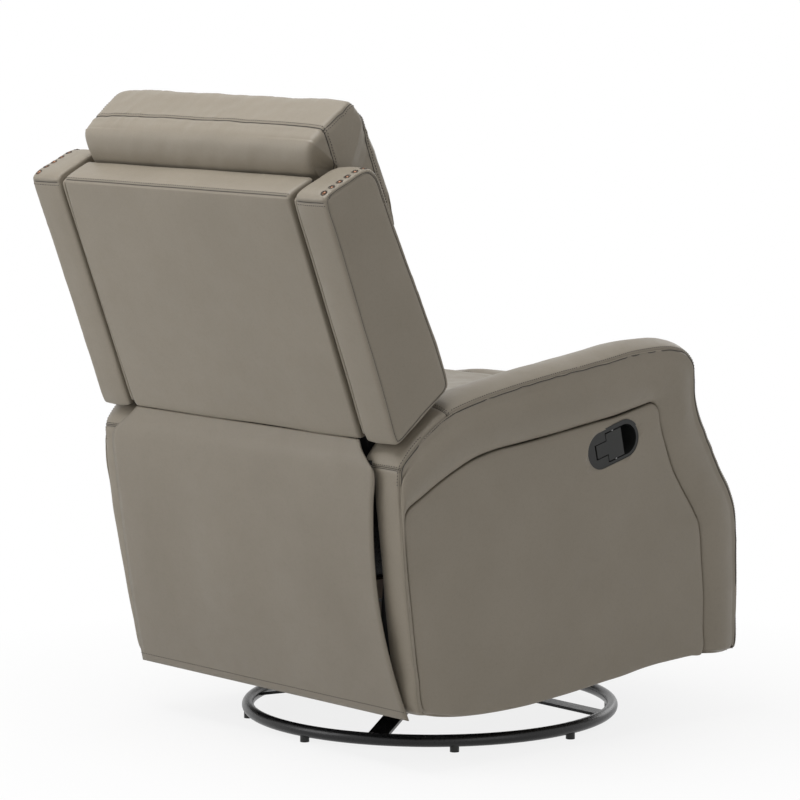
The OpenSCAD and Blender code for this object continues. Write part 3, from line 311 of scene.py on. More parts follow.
class Skin:
    """Nearest points and normals on an object's mesh."""

    def __init__(self, ob):
        me = ob.data
        self.tree = BVHTree.FromPolygons([v.co for v in me.vertices], [p.vertices for p in me.polygons])

    def at(self, points):
        found = [self.tree.find_nearest(Vector(p)) for p in points]
        return np.array([f[0] for f in found]), np.array([f[1] for f in found])

    def round(self, centre, across, up, start, stop, count=260):
        """Where rays out of the centre, in one plane, meet the skin; across and up also set their spread."""
        out = []
        for a in np.radians(np.linspace(start, stop, count)):
            way = Vector(np.asarray(across) * math.cos(a) + np.asarray(up) * math.sin(a)).normalized()
            hit = self.tree.ray_cast(Vector(centre), way)[0]
            if hit is not None:
                out.append(hit[:])
        return np.array(out)


def coords(me, what="co"):
    """A mesh's points, or what else each of them holds three numbers of."""
    values = np.zeros(len(me.vertices) * 3)
    me.vertices.foreach_get(what, values)
    return values.reshape(-1, 3)


def put(me, co):
    me.vertices.foreach_set("co", co.ravel())
    me.update()


def soften(ob, amount, size, seed):
    """Gives stretched leather its slight unevenness."""
    co = coords(ob.data)
    rise = amount * (wave(co, seed, size) + 0.35 * wave(co, seed + 1, size * 0.4))
    put(ob.data, co + coords(ob.data, "normal") * rise[:, None])


def applied(ob):
    """The object's mesh with its modifiers applied."""
    evaluated = ob.evaluated_get(bpy.context.evaluated_depsgraph_get())
    ob.data = bpy.data.meshes.new_from_object(evaluated)
    ob.modifiers.clear()
    ob.data.polygons.foreach_set("use_smooth", [True] * len(ob.data.polygons))


def stuffed(ob, cap, limit):
    """Swells a cushion by cloth simulation, moving no point further than the cap, then holds it to its limits."""
    scene = bpy.context.scene
    even = ob.modifiers.new("even", "REMESH")
    even.mode, even.voxel_size = "VOXEL", 0.006
    applied(ob)
    before = coords(ob.data)
    cloth = ob.modifiers.new("stuffing", "CLOTH")
    cloth.settings.quality = 5
    cloth.settings.mass = 0.3
    cloth.settings.bending_stiffness = 0.6
    cloth.settings.use_pressure = True
    cloth.settings.uniform_pressure_force = 4.0
    cloth.settings.effector_weights.gravity = 0.0
    for f in range(1, 21):
        scene.frame_set(f)
    applied(ob)
    scene.frame_set(1)
    move = coords(ob.data) - before
    far = np.maximum(np.linalg.norm(move, axis=1), 1e-9)
    move *= (cap * np.tanh(far / cap) / far)[:, None]
    put(ob.data, limit(before + move))
    finer = ob.modifiers.new("finer", "SUBSURF")
    finer.levels = finer.render_levels = 1
    applied(ob)
    put(ob.data, limit(coords(ob.data)))


def carve(ob, points, depth, width, pucker=0.0, paint_shade=True, seed=1):
    """Presses a groove along dense points into a mesh, gathers the leather beside it, and marks it for painted crease
    shade.
    """
    me = ob.data
    tree = KDTree(len(points))
    for i, p in enumerate(points):
        tree.insert(Vector(p), i)
    tree.balance()
    co = coords(me)
    found = [tree.find(Vector(p)) for p in co]
    dist = np.array([f[2] for f in found])
    press = depth * (np.exp(-(dist / width) ** 2) - 0.18 * np.exp(-((dist - 2.2 * width) / width) ** 2))
    if pucker:
        r = random.Random(seed)
        run = np.arange(len(points)) * np.linalg.norm(points[1] - points[0])
        ripple = sum(np.sin(run * 2 * math.pi / r.uniform(0.012, 0.04) + r.uniform(0, 6.28)) for _ in range(5)) / 3
        ripple *= smooth(0.5 + sum(np.sin(run * 2 * math.pi / r.uniform(0.09, 0.3) + r.uniform(0, 6.28))
                                   for _ in range(3)) / 2)
        at = np.array([f[1] for f in found])
        press += pucker * ripple[at] * np.exp(-(dist / 0.016) ** 2) * smooth(dist / 0.003)
    put(me, co - coords(me, "normal") * press[:, None])
    if not paint_shade:
        return
    # Painted shade: the mark darkens the leather along the groove, where shade falls
    shade_mark = me.attributes.get("crease_shade") or me.attributes.new("crease_shade", "FLOAT", "POINT")
    old = np.zeros(len(co), np.float32)
    shade_mark.data.foreach_get("value", old)
    shade_mark.data.foreach_set("value", np.maximum(old, np.exp(-(dist / (1.5 * width)) ** 2)).astype(np.float32))


def tangents(path, closed):
    return np.roll(path, -1, 0) - np.roll(path, 1, 0) if closed else np.gradient(path, axis=0)


def steady(v, closed, reach=4):
    """Evens out directions or places along a path."""
    around = "wrap" if closed else "edge"
    wide = np.pad(v, ((reach, reach), (0, 0)), mode=around)
    return np.stack([np.convolve(wide[:, k], np.ones(2 * reach + 1) / (2 * reach + 1), "valid") for k in range(3)], 1)


def seam(ob, path, body, depth=0.0011, width=0.003, rows=(), closed=False, shade_line_r=0.0005, pitch=0.0046,
         pucker=0.0, seed=1, welt=0.0, lines=(1, -1)):
    """A sewn seam along a path on a mesh: a groove, a dark line of painted shade in it or beside its welt, and rows
    of stitches beside it.
    """
    path = resample(path, 0.002, closed)
    on, normals = Skin(ob).at(path)
    if depth:
        carve(ob, on, depth, width, pucker, seed=seed)
    skin = Skin(ob)
    low, _ = skin.at(on)
    normals = unit(steady(normals, closed))
    side = unit(steady(unit(np.cross(tangents(on, closed), normals)), closed))
    low = steady(low, closed, 2)
    if welt:
        threads.tube((body, "welt"), low + normals * welt * 0.35, normals, welt, closed, sides=8)
        # Dark lines of painted shade beside the welt
        for s in lines:
            line, around = skin.at(low + side * s * (welt + shade_line_r))
            threads.tube((body, "seam"), steady(line + around * shade_line_r * 0.45, closed, 2), around, shade_line_r, closed)
    # Otherwise a dark line of painted shade in the groove
    elif shade_line_r:
        threads.tube((body, "seam"), low + normals * shade_line_r * 0.5, normals, shade_line_r, closed)
    for shift in rows:
        spots = resample(on, pitch, closed)
        _, around = skin.at(spots)
        side = unit(np.cross(unit(tangents(spots, False)), around))
        at, up = skin.at(spots + side * shift)
        threads.stitches((body, "stitch"), at, up, STITCH_LEN, STITCH_R)


# Materials

def material(name):
    """A material, its nodes and its shader."""
    m = bpy.data.materials.new(name)
    m.use_nodes = True
    nt = m.node_tree
    bsdf = nt.nodes["Principled BSDF"]
    return m, nt, bsdf


def node(nt, kind, **values):
    """A node with those of its inputs and settings that are named."""
    n = nt.nodes.new(kind)
    for key, value in values.items():
        if key in n.inputs:
            n.inputs[key].default_value = value
        else:
            setattr(n, key, value)
    return n


def texture(nt, kind, **values):
    """A texture on the object's own coordinates."""
    n = node(nt, kind, **values)
    at = nt.nodes.get("Texture Coordinate") or nt.nodes.new("ShaderNodeTexCoord")
    nt.links.new(at.outputs["Object"], n.inputs["Vector"])
    return n


def noise(nt, scale, detail, rough):
    return texture(nt, "ShaderNodeTexNoise", Scale=scale, Detail=detail, Roughness=rough).outputs["Fac"]


def ramp(nt, source, low, high, a, b):
    """The source's range from low to high brought to the range from a to b."""
    r = nt.nodes.new("ShaderNodeMapRange")
    nt.links.new(source, r.inputs["Value"])
    r.inputs["From Min"].default_value, r.inputs["From Max"].default_value = low, high
    r.inputs["To Min"].default_value, r.inputs["To Max"].default_value = a, b
    return r.outputs["Result"]


def mix_colour(nt, fac, a, b):
    n = node(nt, "ShaderNodeMix", data_type="RGBA")
    nt.links.new(fac, n.inputs["Factor"])
    for socket, value in ((n.inputs["A"], a), (n.inputs["B"], b)):
        if isinstance(value, tuple):
            socket.default_value = (*value, 1)
        else:
            nt.links.new(value, socket)
    return n.outputs["Result"]


def bump(nt, height, distance, strength, before=None):
    b = node(nt, "ShaderNodeBump", Distance=distance, Strength=strength)
    nt.links.new(height, b.inputs["Height"])
    if before is not None:
        nt.links.new(before, b.inputs["Normal"])
    return b.outputs["Normal"]


def leather(name, base, worn, crease_shade):
    """Smooth pigmented leather: fine pebbled grain, faint clouding, soft waves and painted shade in the creases that
    carve marks.
    """
    m, nt, bsdf = material(name)
    cells = texture(nt, "ShaderNodeTexVoronoi", Scale=620.0, feature="DISTANCE_TO_EDGE")
    cloud = noise(nt, 5.5, 4.0, 0.6)
    fleck = noise(nt, 190.0, 5.0, 0.65)
    colour = mix_colour(nt, ramp(nt, cloud, 0.36, 0.66, 0.0, 1.0), base, worn)
    # The dark colour also tints the grain's pores and flecks
    pores = ramp(nt, cells.outputs["Distance"], 0.0, 0.16, 0.1, 0.0)
    colour = mix_colour(nt, pores, colour, crease_shade)
    colour = mix_colour(nt, ramp(nt, fleck, 0.5, 0.75, 0.0, 0.1), colour, crease_shade)
    # Painted shade: darker where carve marked the grooves and nail wells
    shade_mark = node(nt, "ShaderNodeAttribute", attribute_name="crease_shade")
    colour = mix_colour(nt, ramp(nt, shade_mark.outputs["Fac"], 0.35, 1.0, 0.0, 0.3), colour, crease_shade)
    nt.links.new(colour, bsdf.inputs["Base Color"])
    nt.links.new(ramp(nt, noise(nt, 30.0, 4.0, 0.6), 0.3, 0.7, 0.42, 0.54), bsdf.inputs["Roughness"])
    n1 = bump(nt, noise(nt, 14.0, 3.0, 0.5), 0.004, 0.16)
    n2 = bump(nt, noise(nt, 75.0, 4.0, 0.55), 0.0008, 0.18, n1)
    n3 = bump(nt, cells.outputs["Distance"], 0.00028, 0.3, n2)
    nt.links.new(n3, bsdf.inputs["Normal"])
    bsdf.inputs["Specular IOR Level"].default_value = 0.42
    bsdf.inputs["Sheen Weight"].default_value = 0.05
    return m


def plain(name, colour, rough, metal=0.0, scale=120.0, spread=0.08, depth=0.0002, tint=0.25, spec=0.5):
    """Paint, plastic, thread or metal with fine texture and a little unevenness."""
    m, nt, bsdf = material(name)
    fine, wide = noise(nt, scale, 5.0, 0.6), noise(nt, 9.0, 3.0, 0.5)
    other = tuple(min(1.0, c * (1 + tint) + 0.004) for c in colour)
    nt.links.new(mix_colour(nt, ramp(nt, wide, 0.35, 0.65, 0.0, 1.0), colour, other), bsdf.inputs["Base Color"])
    nt.links.new(ramp(nt, fine, 0.3, 0.7, rough - spread, rough + spread), bsdf.inputs["Roughness"])
    nt.links.new(bump(nt, fine, depth, 0.25), bsdf.inputs["Normal"])
    bsdf.inputs["Metallic"].default_value = metal
    bsdf.inputs["Specular IOR Level"].default_value = spec
    return m


def striped(name, dark, light, roughness, depth, strength, **bands):
    """Timber's grain or webbing's ribs."""
    m, nt, bsdf = material(name)
    lines = texture(nt, "ShaderNodeTexWave", **bands).outputs["Fac"]
    nt.links.new(mix_colour(nt, lines, dark, light), bsdf.inputs["Base Color"])
    nt.links.new(ramp(nt, lines, 0.0, 1.0, *roughness), bsdf.inputs["Roughness"])
    nt.links.new(bump(nt, lines, depth, strength), bsdf.inputs["Normal"])
    return m


LEATHER = leather("greige_leather", (0.240, 0.208, 0.160), (0.259, 0.225, 0.175), (0.098, 0.082, 0.062))
# Painted shade: the skirt's leather is the same leather made darker, in place of less light on it
SKIRT_SHADED_LEATHER = leather("skirt_leather_painted_shade", (0.216, 0.187, 0.145), (0.232, 0.202, 0.158), (0.09, 0.076, 0.058))
# The seam lines' near-black colour is painted shade in grooves and round the nails
SEAM_SHADE = plain("seam_shadow", (0.02, 0.017, 0.013), 0.7, scale=300.0)
STITCH = plain("stitch_thread", (0.035, 0.028, 0.022), 0.55, scale=700.0)
PAINT = plain("black_paint", (0.006, 0.006, 0.0065), 0.3, scale=260.0, spread=0.06, depth=0.00012, spec=0.36)
STEEL = plain("plated_steel", (0.5, 0.5, 0.5), 0.34, metal=1.0, scale=180.0)
PLASTIC = plain("dark_plastic", (0.012, 0.0125, 0.0115), 0.42, scale=900.0, spread=0.05, depth=0.00015, spec=0.34)
BRONZE = plain("aged_bronze", (0.1, 0.05, 0.03), 0.26, metal=0.9, scale=400.0, tint=0.7)
# Near-black stands in for the shade in the chair's gaps
SHADE_BLACK = plain("painted_shade_black", (0.009, 0.009, 0.01), 0.85, scale=900.0, spread=0.05)
WOOD = striped("frame_wood", (0.1, 0.066, 0.04), (0.15, 0.104, 0.066), (0.6, 0.72), 0.0003, 0.3,
               Scale=38.0, Distortion=5.0, Detail=3.0)
WEB = striped("webbing", (0.02, 0.02, 0.021), (0.05, 0.05, 0.052), (0.8, 0.9), 0.0004, 0.4,
              Scale=260.0, Distortion=0.3, bands_direction="DIAGONAL")

SLOT_LOOK = {"black_steel": PAINT, "plated_steel": STEEL, "frame_wood": WOOD, "dark_plastic": PLASTIC,
             "webbing_fabric": WEB, "bronze_nails": BRONZE, "leather_cover": LEATHER}
for part in frame["record"]["subparts"]:
    ob = nodes[part["node"]]
    ob.data.materials.clear()
    ob.data.materials.append(SLOT_LOOK[part["material_slot"]])
# Frame pieces that show: the footrest board is covered as the upholstery round it is, and the others are painted
# black as shade for the dark gaps they sit in
for name in ("back_posts", "back_rails", "low_rear_rail", "seat_side_rails", "seat_cross_rails", "footrest_board"):
    nodes[name].data.materials[0] = LEATHER if name == "footrest_board" else SHADE_BLACK
    edge = nodes[name].modifiers.new("soft_edge", "BEVEL")
    edge.width, edge.segments = 0.003, 3


# Arms

arm_line = spline([(-ARM_FRONT + a * ARM_LEN, ARM_FOOT + b * ARM_H) for a, b in ARM], 12)
panel_line = spline([(-ARM_FRONT + a * ARM_LEN, ARM_FOOT + b * ARM_H) for a, b in PANEL], 12)
arm_dir = outward(arm_line)
panel_dir = outward(panel_line)
plump = np.where(arm_dir[:, 1] > 0, 0.2 + 0.8 * arm_dir[:, 1], 0.2 * (1 + arm_dir[:, 1]))
ARM_SPINE = ((-190, 330), (290, 330))
PANEL_SPINE = ((-120, 300), (260, 300))
ARM_NOTCH, CORE_IN = 36, 24


def arm_out(z):
    """How far out the arm's outer face lies at a height, in millimetres."""
    return OUTER - (ARM_TOP - z) * TAPER


def under(direction):
    """How far a place on an outline faces the floor, from 0 to 1."""
    return smooth((-direction[:, 1] - 0.6) / 0.35)


# The side panel reaches down over the arm's lower edge
panel_line = panel_line - np.stack([np.zeros(len(panel_dir)), 4.6 * under(panel_dir)], 1)
arm_low = under(arm_dir)


def arm_rings():
    """Rings from the inner face over the top to the outer face, as (x, y, z) in millimetres."""
    rings = []
    # Beside the skirt the rear corner is drawn forwards, so that a gap is left there
    corner = np.clip(arm_dir[:, 0], 0, 1) * smooth((500 - arm_line[:, 1]) / 40) * smooth((arm_line[:, 1] - 180) / 200)

    def ring(x, line):
        x = np.broadcast_to(x, len(line))
        y = line[:, 0] - ARM_NOTCH * corner * (1 - smooth((x - 284) / ARM_NOTCH))
        rings.append(np.stack([x, y, line[:, 1]], 1))

    core = draw_in(arm_line, ARM_SPINE, CORE_IN)
    for x, share in ((281.6, 0.8), (281.2, 0.6), (280.8, 0.4), (280.4, 0.2)):
        ring(x, shrink(core, ARM_SPINE, share))
    for x, d in ((280.2, CORE_IN), (280.2, 14), (280.8, 8), (282.4, 4), (285.2, 1.5)):
        ring(x, draw_in(arm_line, ARM_SPINE, d))
    pad_in = ARM_IN + BOARD_T
    # Where the band is narrow, at the rear, its corner is sharp
    reach = np.linalg.norm(arm_line - panel_line, axis=1)
    tight = np.clip(reach / 62, 0.1, 1)
    for share, proud, drawn in (
            (-0.13, 0.22, 0.02), (-0.06, 0.36, 0), (0.0, 0.5, 0), (0.07, 0.63, 0), (0.16, 0.77, 0), (0.27, 0.89, 0),
            (0.39, 0.97, 0), (0.5, 1.0, 0), (0.61, 0.95, 0), (0.71, 0.83, 0), (0.8, 0.66, 0), (0.87, 0.5, 0.01),
            (0.915, 0.38, 0.02), (0.945, 0.3, 0.05), (0.96, 0.24, 0.12), (0.968, 0.2, 0.24), (0.974, 0.17, 0.30),
            (0.98, 0.16, 0.26), (0.988, 0.15, 0.25), (0.996, 0.12, 0.34), (1.0, 0.08, 0.55), (1.0, 0.03, 0.85)):
        off = ARM_CROWN * (proud * plump - drawn * tight)
        line = arm_line + arm_dir * off[:, None]
        ring(pad_in + (arm_out(line[:, 1]) - pad_in) * share - 10 * arm_low * smooth((share - 0.7) / 0.25), line)
    for share, puff in ((0.2, 0.26), (0.27, 0.5), (0.36, 0.78), (0.46, 0.95), (0.56, 1.0), (0.66, 0.93), (0.76, 0.72),
                        (0.84, 0.45), (0.9, 0.18), (0.94, -0.05), (0.97, -0.3), (0.99, -0.6), (1.0, -1.05)):
        line = arm_line + (panel_line - arm_line) * share
        full = 7.0 * np.clip(reach / 60, 0.12, 1)
        deep = np.where(puff > 0, full * puff, 6.0 * puff * np.clip(reach / 26, 0.12, 1))
        line[:, 1] += 6 * arm_low * share
        ring(arm_out(line[:, 1]) + deep - 10 * arm_low, line)
    inner = panel_line + np.stack([np.zeros(len(arm_low)), 6 * arm_low], 1)
    ring(arm_out(inner[:, 1]) - 20, inner)
    ring(arm_out(inner[:, 1]) - 42, inner)
    return rings


def panel_rings():
    """Rings from the side panel's edge to its middle, as (x, y, z) in millimetres."""
    rings = []
    for x, d in ((-12, 1.8), (-7, 1.8), (-3.6, 1.9), (-1.6, 2.6), (-0.4, 4.4), (0.5, 8), (1.1, 14), (1.6, CORE_IN)):
        line = draw_in(panel_line, PANEL_SPINE, d)
        rings.append(np.stack([arm_out(line[:, 1]) + x, line[:, 0], line[:, 1]], 1))
    core = draw_in(panel_line, PANEL_SPINE, CORE_IN)
    middle = np.array([75.0, 300.0])
    for share in (0.07, 0.14, 0.22, 0.3, 0.38, 0.46, 0.54, 0.62, 0.7, 0.78, 0.86, 0.93):
        line = core + (middle - core) * share
        rings.append(np.stack([arm_out(line[:, 1]) + 1.6 + 1.8 * smooth(share / 0.6), line[:, 0], line[:, 1]], 1))
    return rings


def sided(ring, s):
    """A left piece's ring in metres, on the side that s tells."""
    return ring * np.array([s, 1, 1]) * MM


ARM_COLUMN = 12
INNER_SEAM, OUTER_SEAM = 8, 9 + 16
for s, side in SIDES:
    rings = arm_rings()
    cover = loft(f"arm_cover_{side}", [sided(r, s) for r in rings], LEATHER, "seat_frame")
    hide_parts(f"arm_pad_{side}", f"arm_board_{side}")
    soften(cover, 0.0007, 0.16, 11 + s)
    # Painted shade: the arm's inner faces in the dark gaps behind the skirt and low beside the seat are black
    cover.data.materials.append(SHADE_BLACK)
    for face in cover.data.polygons:
        x, y, z = face.center
        if (abs(x) < 0.309 and y > 0.31 and z < 0.495) or (abs(x) < 0.282 and y > -0.15 and z < 0.4):
            face.material_index = 1
    # The outer seam runs from the side panel's rear corner over the top and down the front
    first, last = int(5.4 * ARM_COLUMN), int(31.3 * ARM_COLUMN)
    row = 0.0055 * s
    seam(cover, sided(rings[OUTER_SEAM], s)[first:last], "seat_frame", depth=0.0006, width=0.0025, welt=0.001,
         pucker=0.0003, seed=3 + s, rows=(row,), shade_line_r=0.0007, lines=(-s,))
    seam(cover, sided(rings[INNER_SEAM], s)[first:last], "seat_frame", welt=0.0009, pucker=0.0003, seed=5 + s)
    for column, stop in ((9, OUTER_SEAM), (6.05, OUTER_SEAM)):
        at = int(column * ARM_COLUMN)
        path = np.array([sided(r[at:at + 1], s)[0] for r in rings[INNER_SEAM:stop + 1]])
        seam(cover, path, "seat_frame", depth=0.0014, width=0.0028, rows=(s * 0.0042,), welt=0.0008)
    # Leather gathers where the band turns down at the front
    for k, (a, b) in enumerate(((0.262, 0.93), (0.238, 0.90), (0.222, 0.865), (0.3, 0.94), (0.34, 0.93))):
        y, z = -ARM_FRONT + a * ARM_LEN, ARM_FOOT + b * ARM_H
        ends = np.array([[arm_out(z), y + 7 + 2 * k, z + 9], [arm_out(z - 40), y - 4 - k, z - 34]])
        on, _ = Skin(cover).at(resample(ends * np.array([s, 1, 1]) * MM, 0.003))
        carve(cover, on, 0.0011, 0.005, paint_shade=False)
    panel = loft(f"side_panel_{side}", [sided(r, s) for r in panel_rings()], LEATHER, "seat_frame", fan=True)
    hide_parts(f"arm_panel_{side}")
    soften(panel, 0.0006, 0.14, 21 + s)
    if s < 0:
        right_panel = panel

# The side panel is cut out round the handle's cup
HANDLE_TILT, BEZEL_HALF, CUP_R = math.radians(15), 27, 30.6
HANDLE_AT, CUT_FROM, CUT_TO = np.array([0, -0.058, 0.486]), -0.43, -0.31
along = np.array([0, -math.cos(HANDLE_TILT), math.sin(HANDLE_TILT)])
upward = np.array([0, math.sin(HANDLE_TILT), math.cos(HANDLE_TILT)])
hole = []
for i in range(48):
    a = 2 * math.pi * (i + 0.5) / 48
    way = math.cos(a)
    hole.append(along * (way * CUP_R + math.copysign(BEZEL_HALF, way)) + upward * math.sin(a) * CUP_R)
hole = np.array(hole) * MM + HANDLE_AT
cutter = loft("cutter", [hole + np.array([x, 0, 0]) for x in (CUT_FROM, CUT_TO)], LEATHER, "seat_frame")
cut = right_panel.modifiers.new("cut", "BOOLEAN")
cut.operation, cut.solver, cut.object = "DIFFERENCE", "EXACT", cutter
applied(right_panel)
bpy.data.objects.remove(cutter)


# Back: rear panel, wings, strips beside the panel

# Rings of (forward, up) points run the other way round, so that outward has to be turned over for them
panel_ring = spline([
    (7, 0.5), (1.5, 4), (-0.3, 12), (-1.2, 40), (-2.2, 100), (-2.8, 160), (-3, 220), (-2.8, 290), (-2, 350),
    (-1, 385), (0, 399), (1.2, 405), (3.4, 408), (6.5, 409.8), (14, 411.8), (28, 413.6), (42, 415), (52, 415.9),
    (56.5, 415), (57.5, 411), (57.3, 402), (55, 396), (48, 395), (34, 395), (23.5, 394), (22, 388), (22, 300),
    (22, 180), (22, 60), (21.6, 8), (16, 0.8)], 7)


def rear_rings():
    """Rings across the rear panel, whose padding flattens towards its sides."""
    out = -outward(panel_ring)
    ends = [(0, 5.5), (0.8, 3.4), (2.2, 1.7), (4.5, 0.6), (8, 0.1), (14, 0)]
    rings = []
    for x, d in across(PANEL_HALF, ends, np.linspace(-255, 255, 27)):
        r = panel_ring - out * d
        r[:, 0] -= np.minimum(r[:, 0], 0) * (abs(x) / PANEL_HALF) ** 5
        rings.append(ring_in_back(x, r))
    return rings


rear = loft("rear_panel_cover", rear_rings(), LEATHER, "back")
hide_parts("back_panel")
soften(rear, 0.0006, 0.2, 41)
ledge_seam = in_back(np.linspace(-279, 279, 60), 2.6, 407.4)
seam(rear, ledge_seam, "back", depth=0.0012, width=0.0026, rows=(0.004,), pucker=0.0003, seed=9)

WING_COLUMN = 12
wing_ring = spline([(a * WING_D, b * PANEL_LEN) for a, b in WING], WING_COLUMN)
wing_places = [
    (298, 5.5), (298.5, 3.6), (299.6, 1.9), (301.5, 0.8), (304, 0.2), (308, -0.2), (316, -1.0), (326, -1.4),
    (336, -1.4), (346, -1.0), (354, -0.8), (360, -0.6), (363.4, -0.1), (365.8, 0.9), (367.3, 2.1), (368, 3.4),
    (367.9, 4.6), (366.6, 5.8), (367.3, 7.2), (368.2, 9.6), (368.8, 14), (WING_OUT, 24)]
WING_SEAM = 4 + 17  # the ring where the side's edge is sewn
WING_SPINE = ((57, 62), (57, 352))
NAIL_APART, NAIL_RING, NAIL_SHADE_R = 3, 0.005, 0.0006
WELL_DEPTH, WELL_WIDTH = 0.0013, 0.0055
strip_ring = spline([(6.5, 10), (5, 18), (5, 100), (5, 200), (5, 300), (5, 392), (6.5, 400), (13, 403), (40, 404),
                     (90, 405), (98, 401), (101, 380), (104, 200), (105, 60), (102, 46), (60, 32), (15, 12)], 6)
for s, side in SIDES:
    out = -outward(wing_ring)
    rings = [ring_in_back(s * WING_IN, shrink(wing_ring, WING_SPINE, share)) for share in (0.9, 0.7, 0.5, 0.3)]
    for x, d in wing_places:
        r = draw_in(wing_ring, WING_SPINE, d) if d > 2 else wing_ring - out * d
        rings.append(ring_in_back(s * x, r))
    rings += [ring_in_back(s * WING_OUT, shrink(wing_ring, WING_SPINE, share)) for share in (0.6, 0.7, 0.8, 0.9)]
    wing = loft(f"wing_cover_{side}", rings, LEATHER, "back")
    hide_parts(f"wing_{side}")
    soften(wing, 0.0004, 0.12, 31 + s)
    seam(wing, rings[WING_SEAM], "back", depth=0.0003, width=0.002, closed=True, rows=(0.0,), shade_line_r=0.00035,
         pucker=0.0002, seed=7 + s)
    lip = rings[WING_SEAM][int(6.2 * WING_COLUMN):int(12.6 * WING_COLUMN)]
    seam(wing, lip, "back", depth=0, welt=0.0009)
    top_rear = in_back(s * np.linspace(300, 365, 20), -0.5, 401)
    seam(wing, top_rear, "back", depth=0.0012, width=0.0024, rows=(-s * ROW,))
    # Each nail sits in a well marked for painted shade, with a ring of painted shade round its head
    heads = coords(nodes[f"nailheads_{side}"].data)
    f, u = back_place(heads)
    order = np.argsort(f)
    for group in np.split(order, np.where(np.diff(f[order]) > NAIL_APART)[0] + 1):
        at, up = Skin(wing).at(heads[group].mean(0)[None, :])
        carve(wing, np.repeat(at, 2, 0) + np.array([[0, 0, 0], [1e-4, 0, 0]]), WELL_DEPTH, WELL_WIDTH)
        ahead = in_back(0, 1, 0) - in_back(0, 0, 0)
        ahead -= up[0] * (ahead @ up[0])
        ahead /= np.linalg.norm(ahead)
        turn = np.linspace(0, 2 * math.pi, 24, endpoint=False)[:, None]
        circle = at + NAIL_RING * (ahead * np.cos(turn) + np.cross(up[0], ahead) * np.sin(turn))
        on, around = Skin(wing).at(circle)
        threads.tube(("back", "seam"), on + around * NAIL_SHADE_R / 2, around, NAIL_SHADE_R, True)
    # Leather-wrapped strip between the wing and the rear panel, with a tongue that closes the slit beside the panel
    strip = loft(f"wing_strip_{side}", [ring_in_back(s * x, draw_in(strip_ring, WING_SPINE, d)) for x, d in (
        (282.6, 26), (283, 24.6), (284, 23.8), (287.4, 23.4), (288.2, 22.6), (288.2, 3), (288.5, 1.4),
        (289.2, 0.4), (290.2, 0), (292.4, 0), (293.4, 0.4), (294.1, 1.4), (294.4, 3))], LEATHER, "back")
    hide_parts(f"wing_board_{side}")


# Headrest pillow, back cushion, seat cushion and footrest padding

PILLOW_HALF, PILLOW_T, PILLOW_U, PILLOW_H, PILLOW_CROWN = 289, 164, PANEL_LEN - 80, 170, 12
PILLOW_SPINE = ((110, 400), (188, 330))
pillow_ring = spline([(PAD_REAR + a * PILLOW_T, PILLOW_U + b * PILLOW_H) for a, b in (
    (0.02, 0.03), (0, 0.25), (0, 0.45), (-0.025, 0.52), (-0.03, 0.65), (0, 0.765), (0.06, 0.835), (0.14, 0.872),
    (0.25, 0.905), (0.4, 0.955), (0.53, 0.99), (0.63, 0.97), (0.7, 0.88), (0.76, 0.76), (0.81, 0.61), (0.86, 0.44),
    (0.89, 0.29), (0.905, 0.12), (0.915, -0.05), (0.915, -0.2), (0.895, -0.31), (0.84, -0.345), (0.78, -0.28),
    (0.7, -0.13), (0.6, -0.03), (0.45, 0), (0.18, 0.005))], 9)


def pillow_rings():
    """Rings across the pillow, from the middle of one end to the other."""
    out = -outward(pillow_ring)
    ends = [(0, 0.9), (0.2, 0.7), (0.6, 0.5), (1.2, 0.34), (1.9, 0.22), (2.6, 0.14)]
    sides = [(3.4, 8.2), (4.8, 5.8), (7, 3.7), (10, 2.3), (16, 1.1), (26, 0.5), (40, 0.2)]
    span = PILLOW_HALF - 54
    rows = [(x - PILLOW_HALF, shrink, d) for x, d in ends] + [(x - PILLOW_HALF, draw_in, d) for x, d in sides]
    rows += [(x, draw_in, 0) for x in np.linspace(-span, span, 95)]
    rows += [(-x, way, d) for x, way, d in reversed(rows[:len(ends) + len(sides)])]
    rings = []
    front, up = np.maximum(out[:, 0], 0), np.maximum(out[:, 1], 0)
    wide = np.interp(pillow_ring[:, 1], [260, 300, 407, 431, 450, 470], [278, 281, 281, 281, 285, 291])
    for x, way, d in rows:
        q = x / PILLOW_HALF
        tuft = math.exp(-(x / 20) ** 2)
        deep = PILLOW_CROWN * abs(q) ** 3 * (front + 0.3 * up) + tuft * front * front * 5
        r = pillow_ring - out * (deep * np.where(out[:, 0] < -0.7, 0.15, 1.0))[:, None]
        # Towards its ends the pillow's brow stands further forward and its lower lip goes back
        r[:, 0] += smooth((pillow_ring[:, 0] - 118) / 50) * smooth((abs(x) - 120) / 120) * np.interp(
            pillow_ring[:, 1], [250, 300, 338, 378, 416, 455, 475, 495], [-15, -15, -10, -5, 1, 6, 8, 9])
        rings.append(ring_in_back(q * wide, way(r, PILLOW_SPINE, d)))
    return rings


pillow = loft("headrest_pillow_cover", pillow_rings(), LEATHER, "back")
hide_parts("headrest_pillow")
soften(pillow, 0.0011, 0.11, 51)
# Seams round the rear face and the front face, and down the boxing's corners
REAR_SEAM_F, FRONT_SEAM_F = 98, 176
for f, centre_u, start, stop, seed in ((REAR_SEAM_F, 400, -30, 210, 13), (FRONT_SEAM_F, 400, -45, 225, 14)):
    loop = Skin(pillow).round(in_back(0, f, centre_u), (0.29, 0, 0), in_back(0, 0, 95) - in_back(0, 0, 0),
                              start, stop)
    seam(pillow, loop, "back", depth=0.0018, width=0.003, rows=(-ROW,), pucker=0.0006, seed=seed, shade_line_r=0.0006)
for s in (1, -1):
    corner = in_back(np.full(12, s * 284.0), np.linspace(REAR_SEAM_F, FRONT_SEAM_F, 12), np.linspace(472, 494, 12))
    seam(pillow, corner, "back", depth=0.0012, width=0.003, rows=(0.004,))

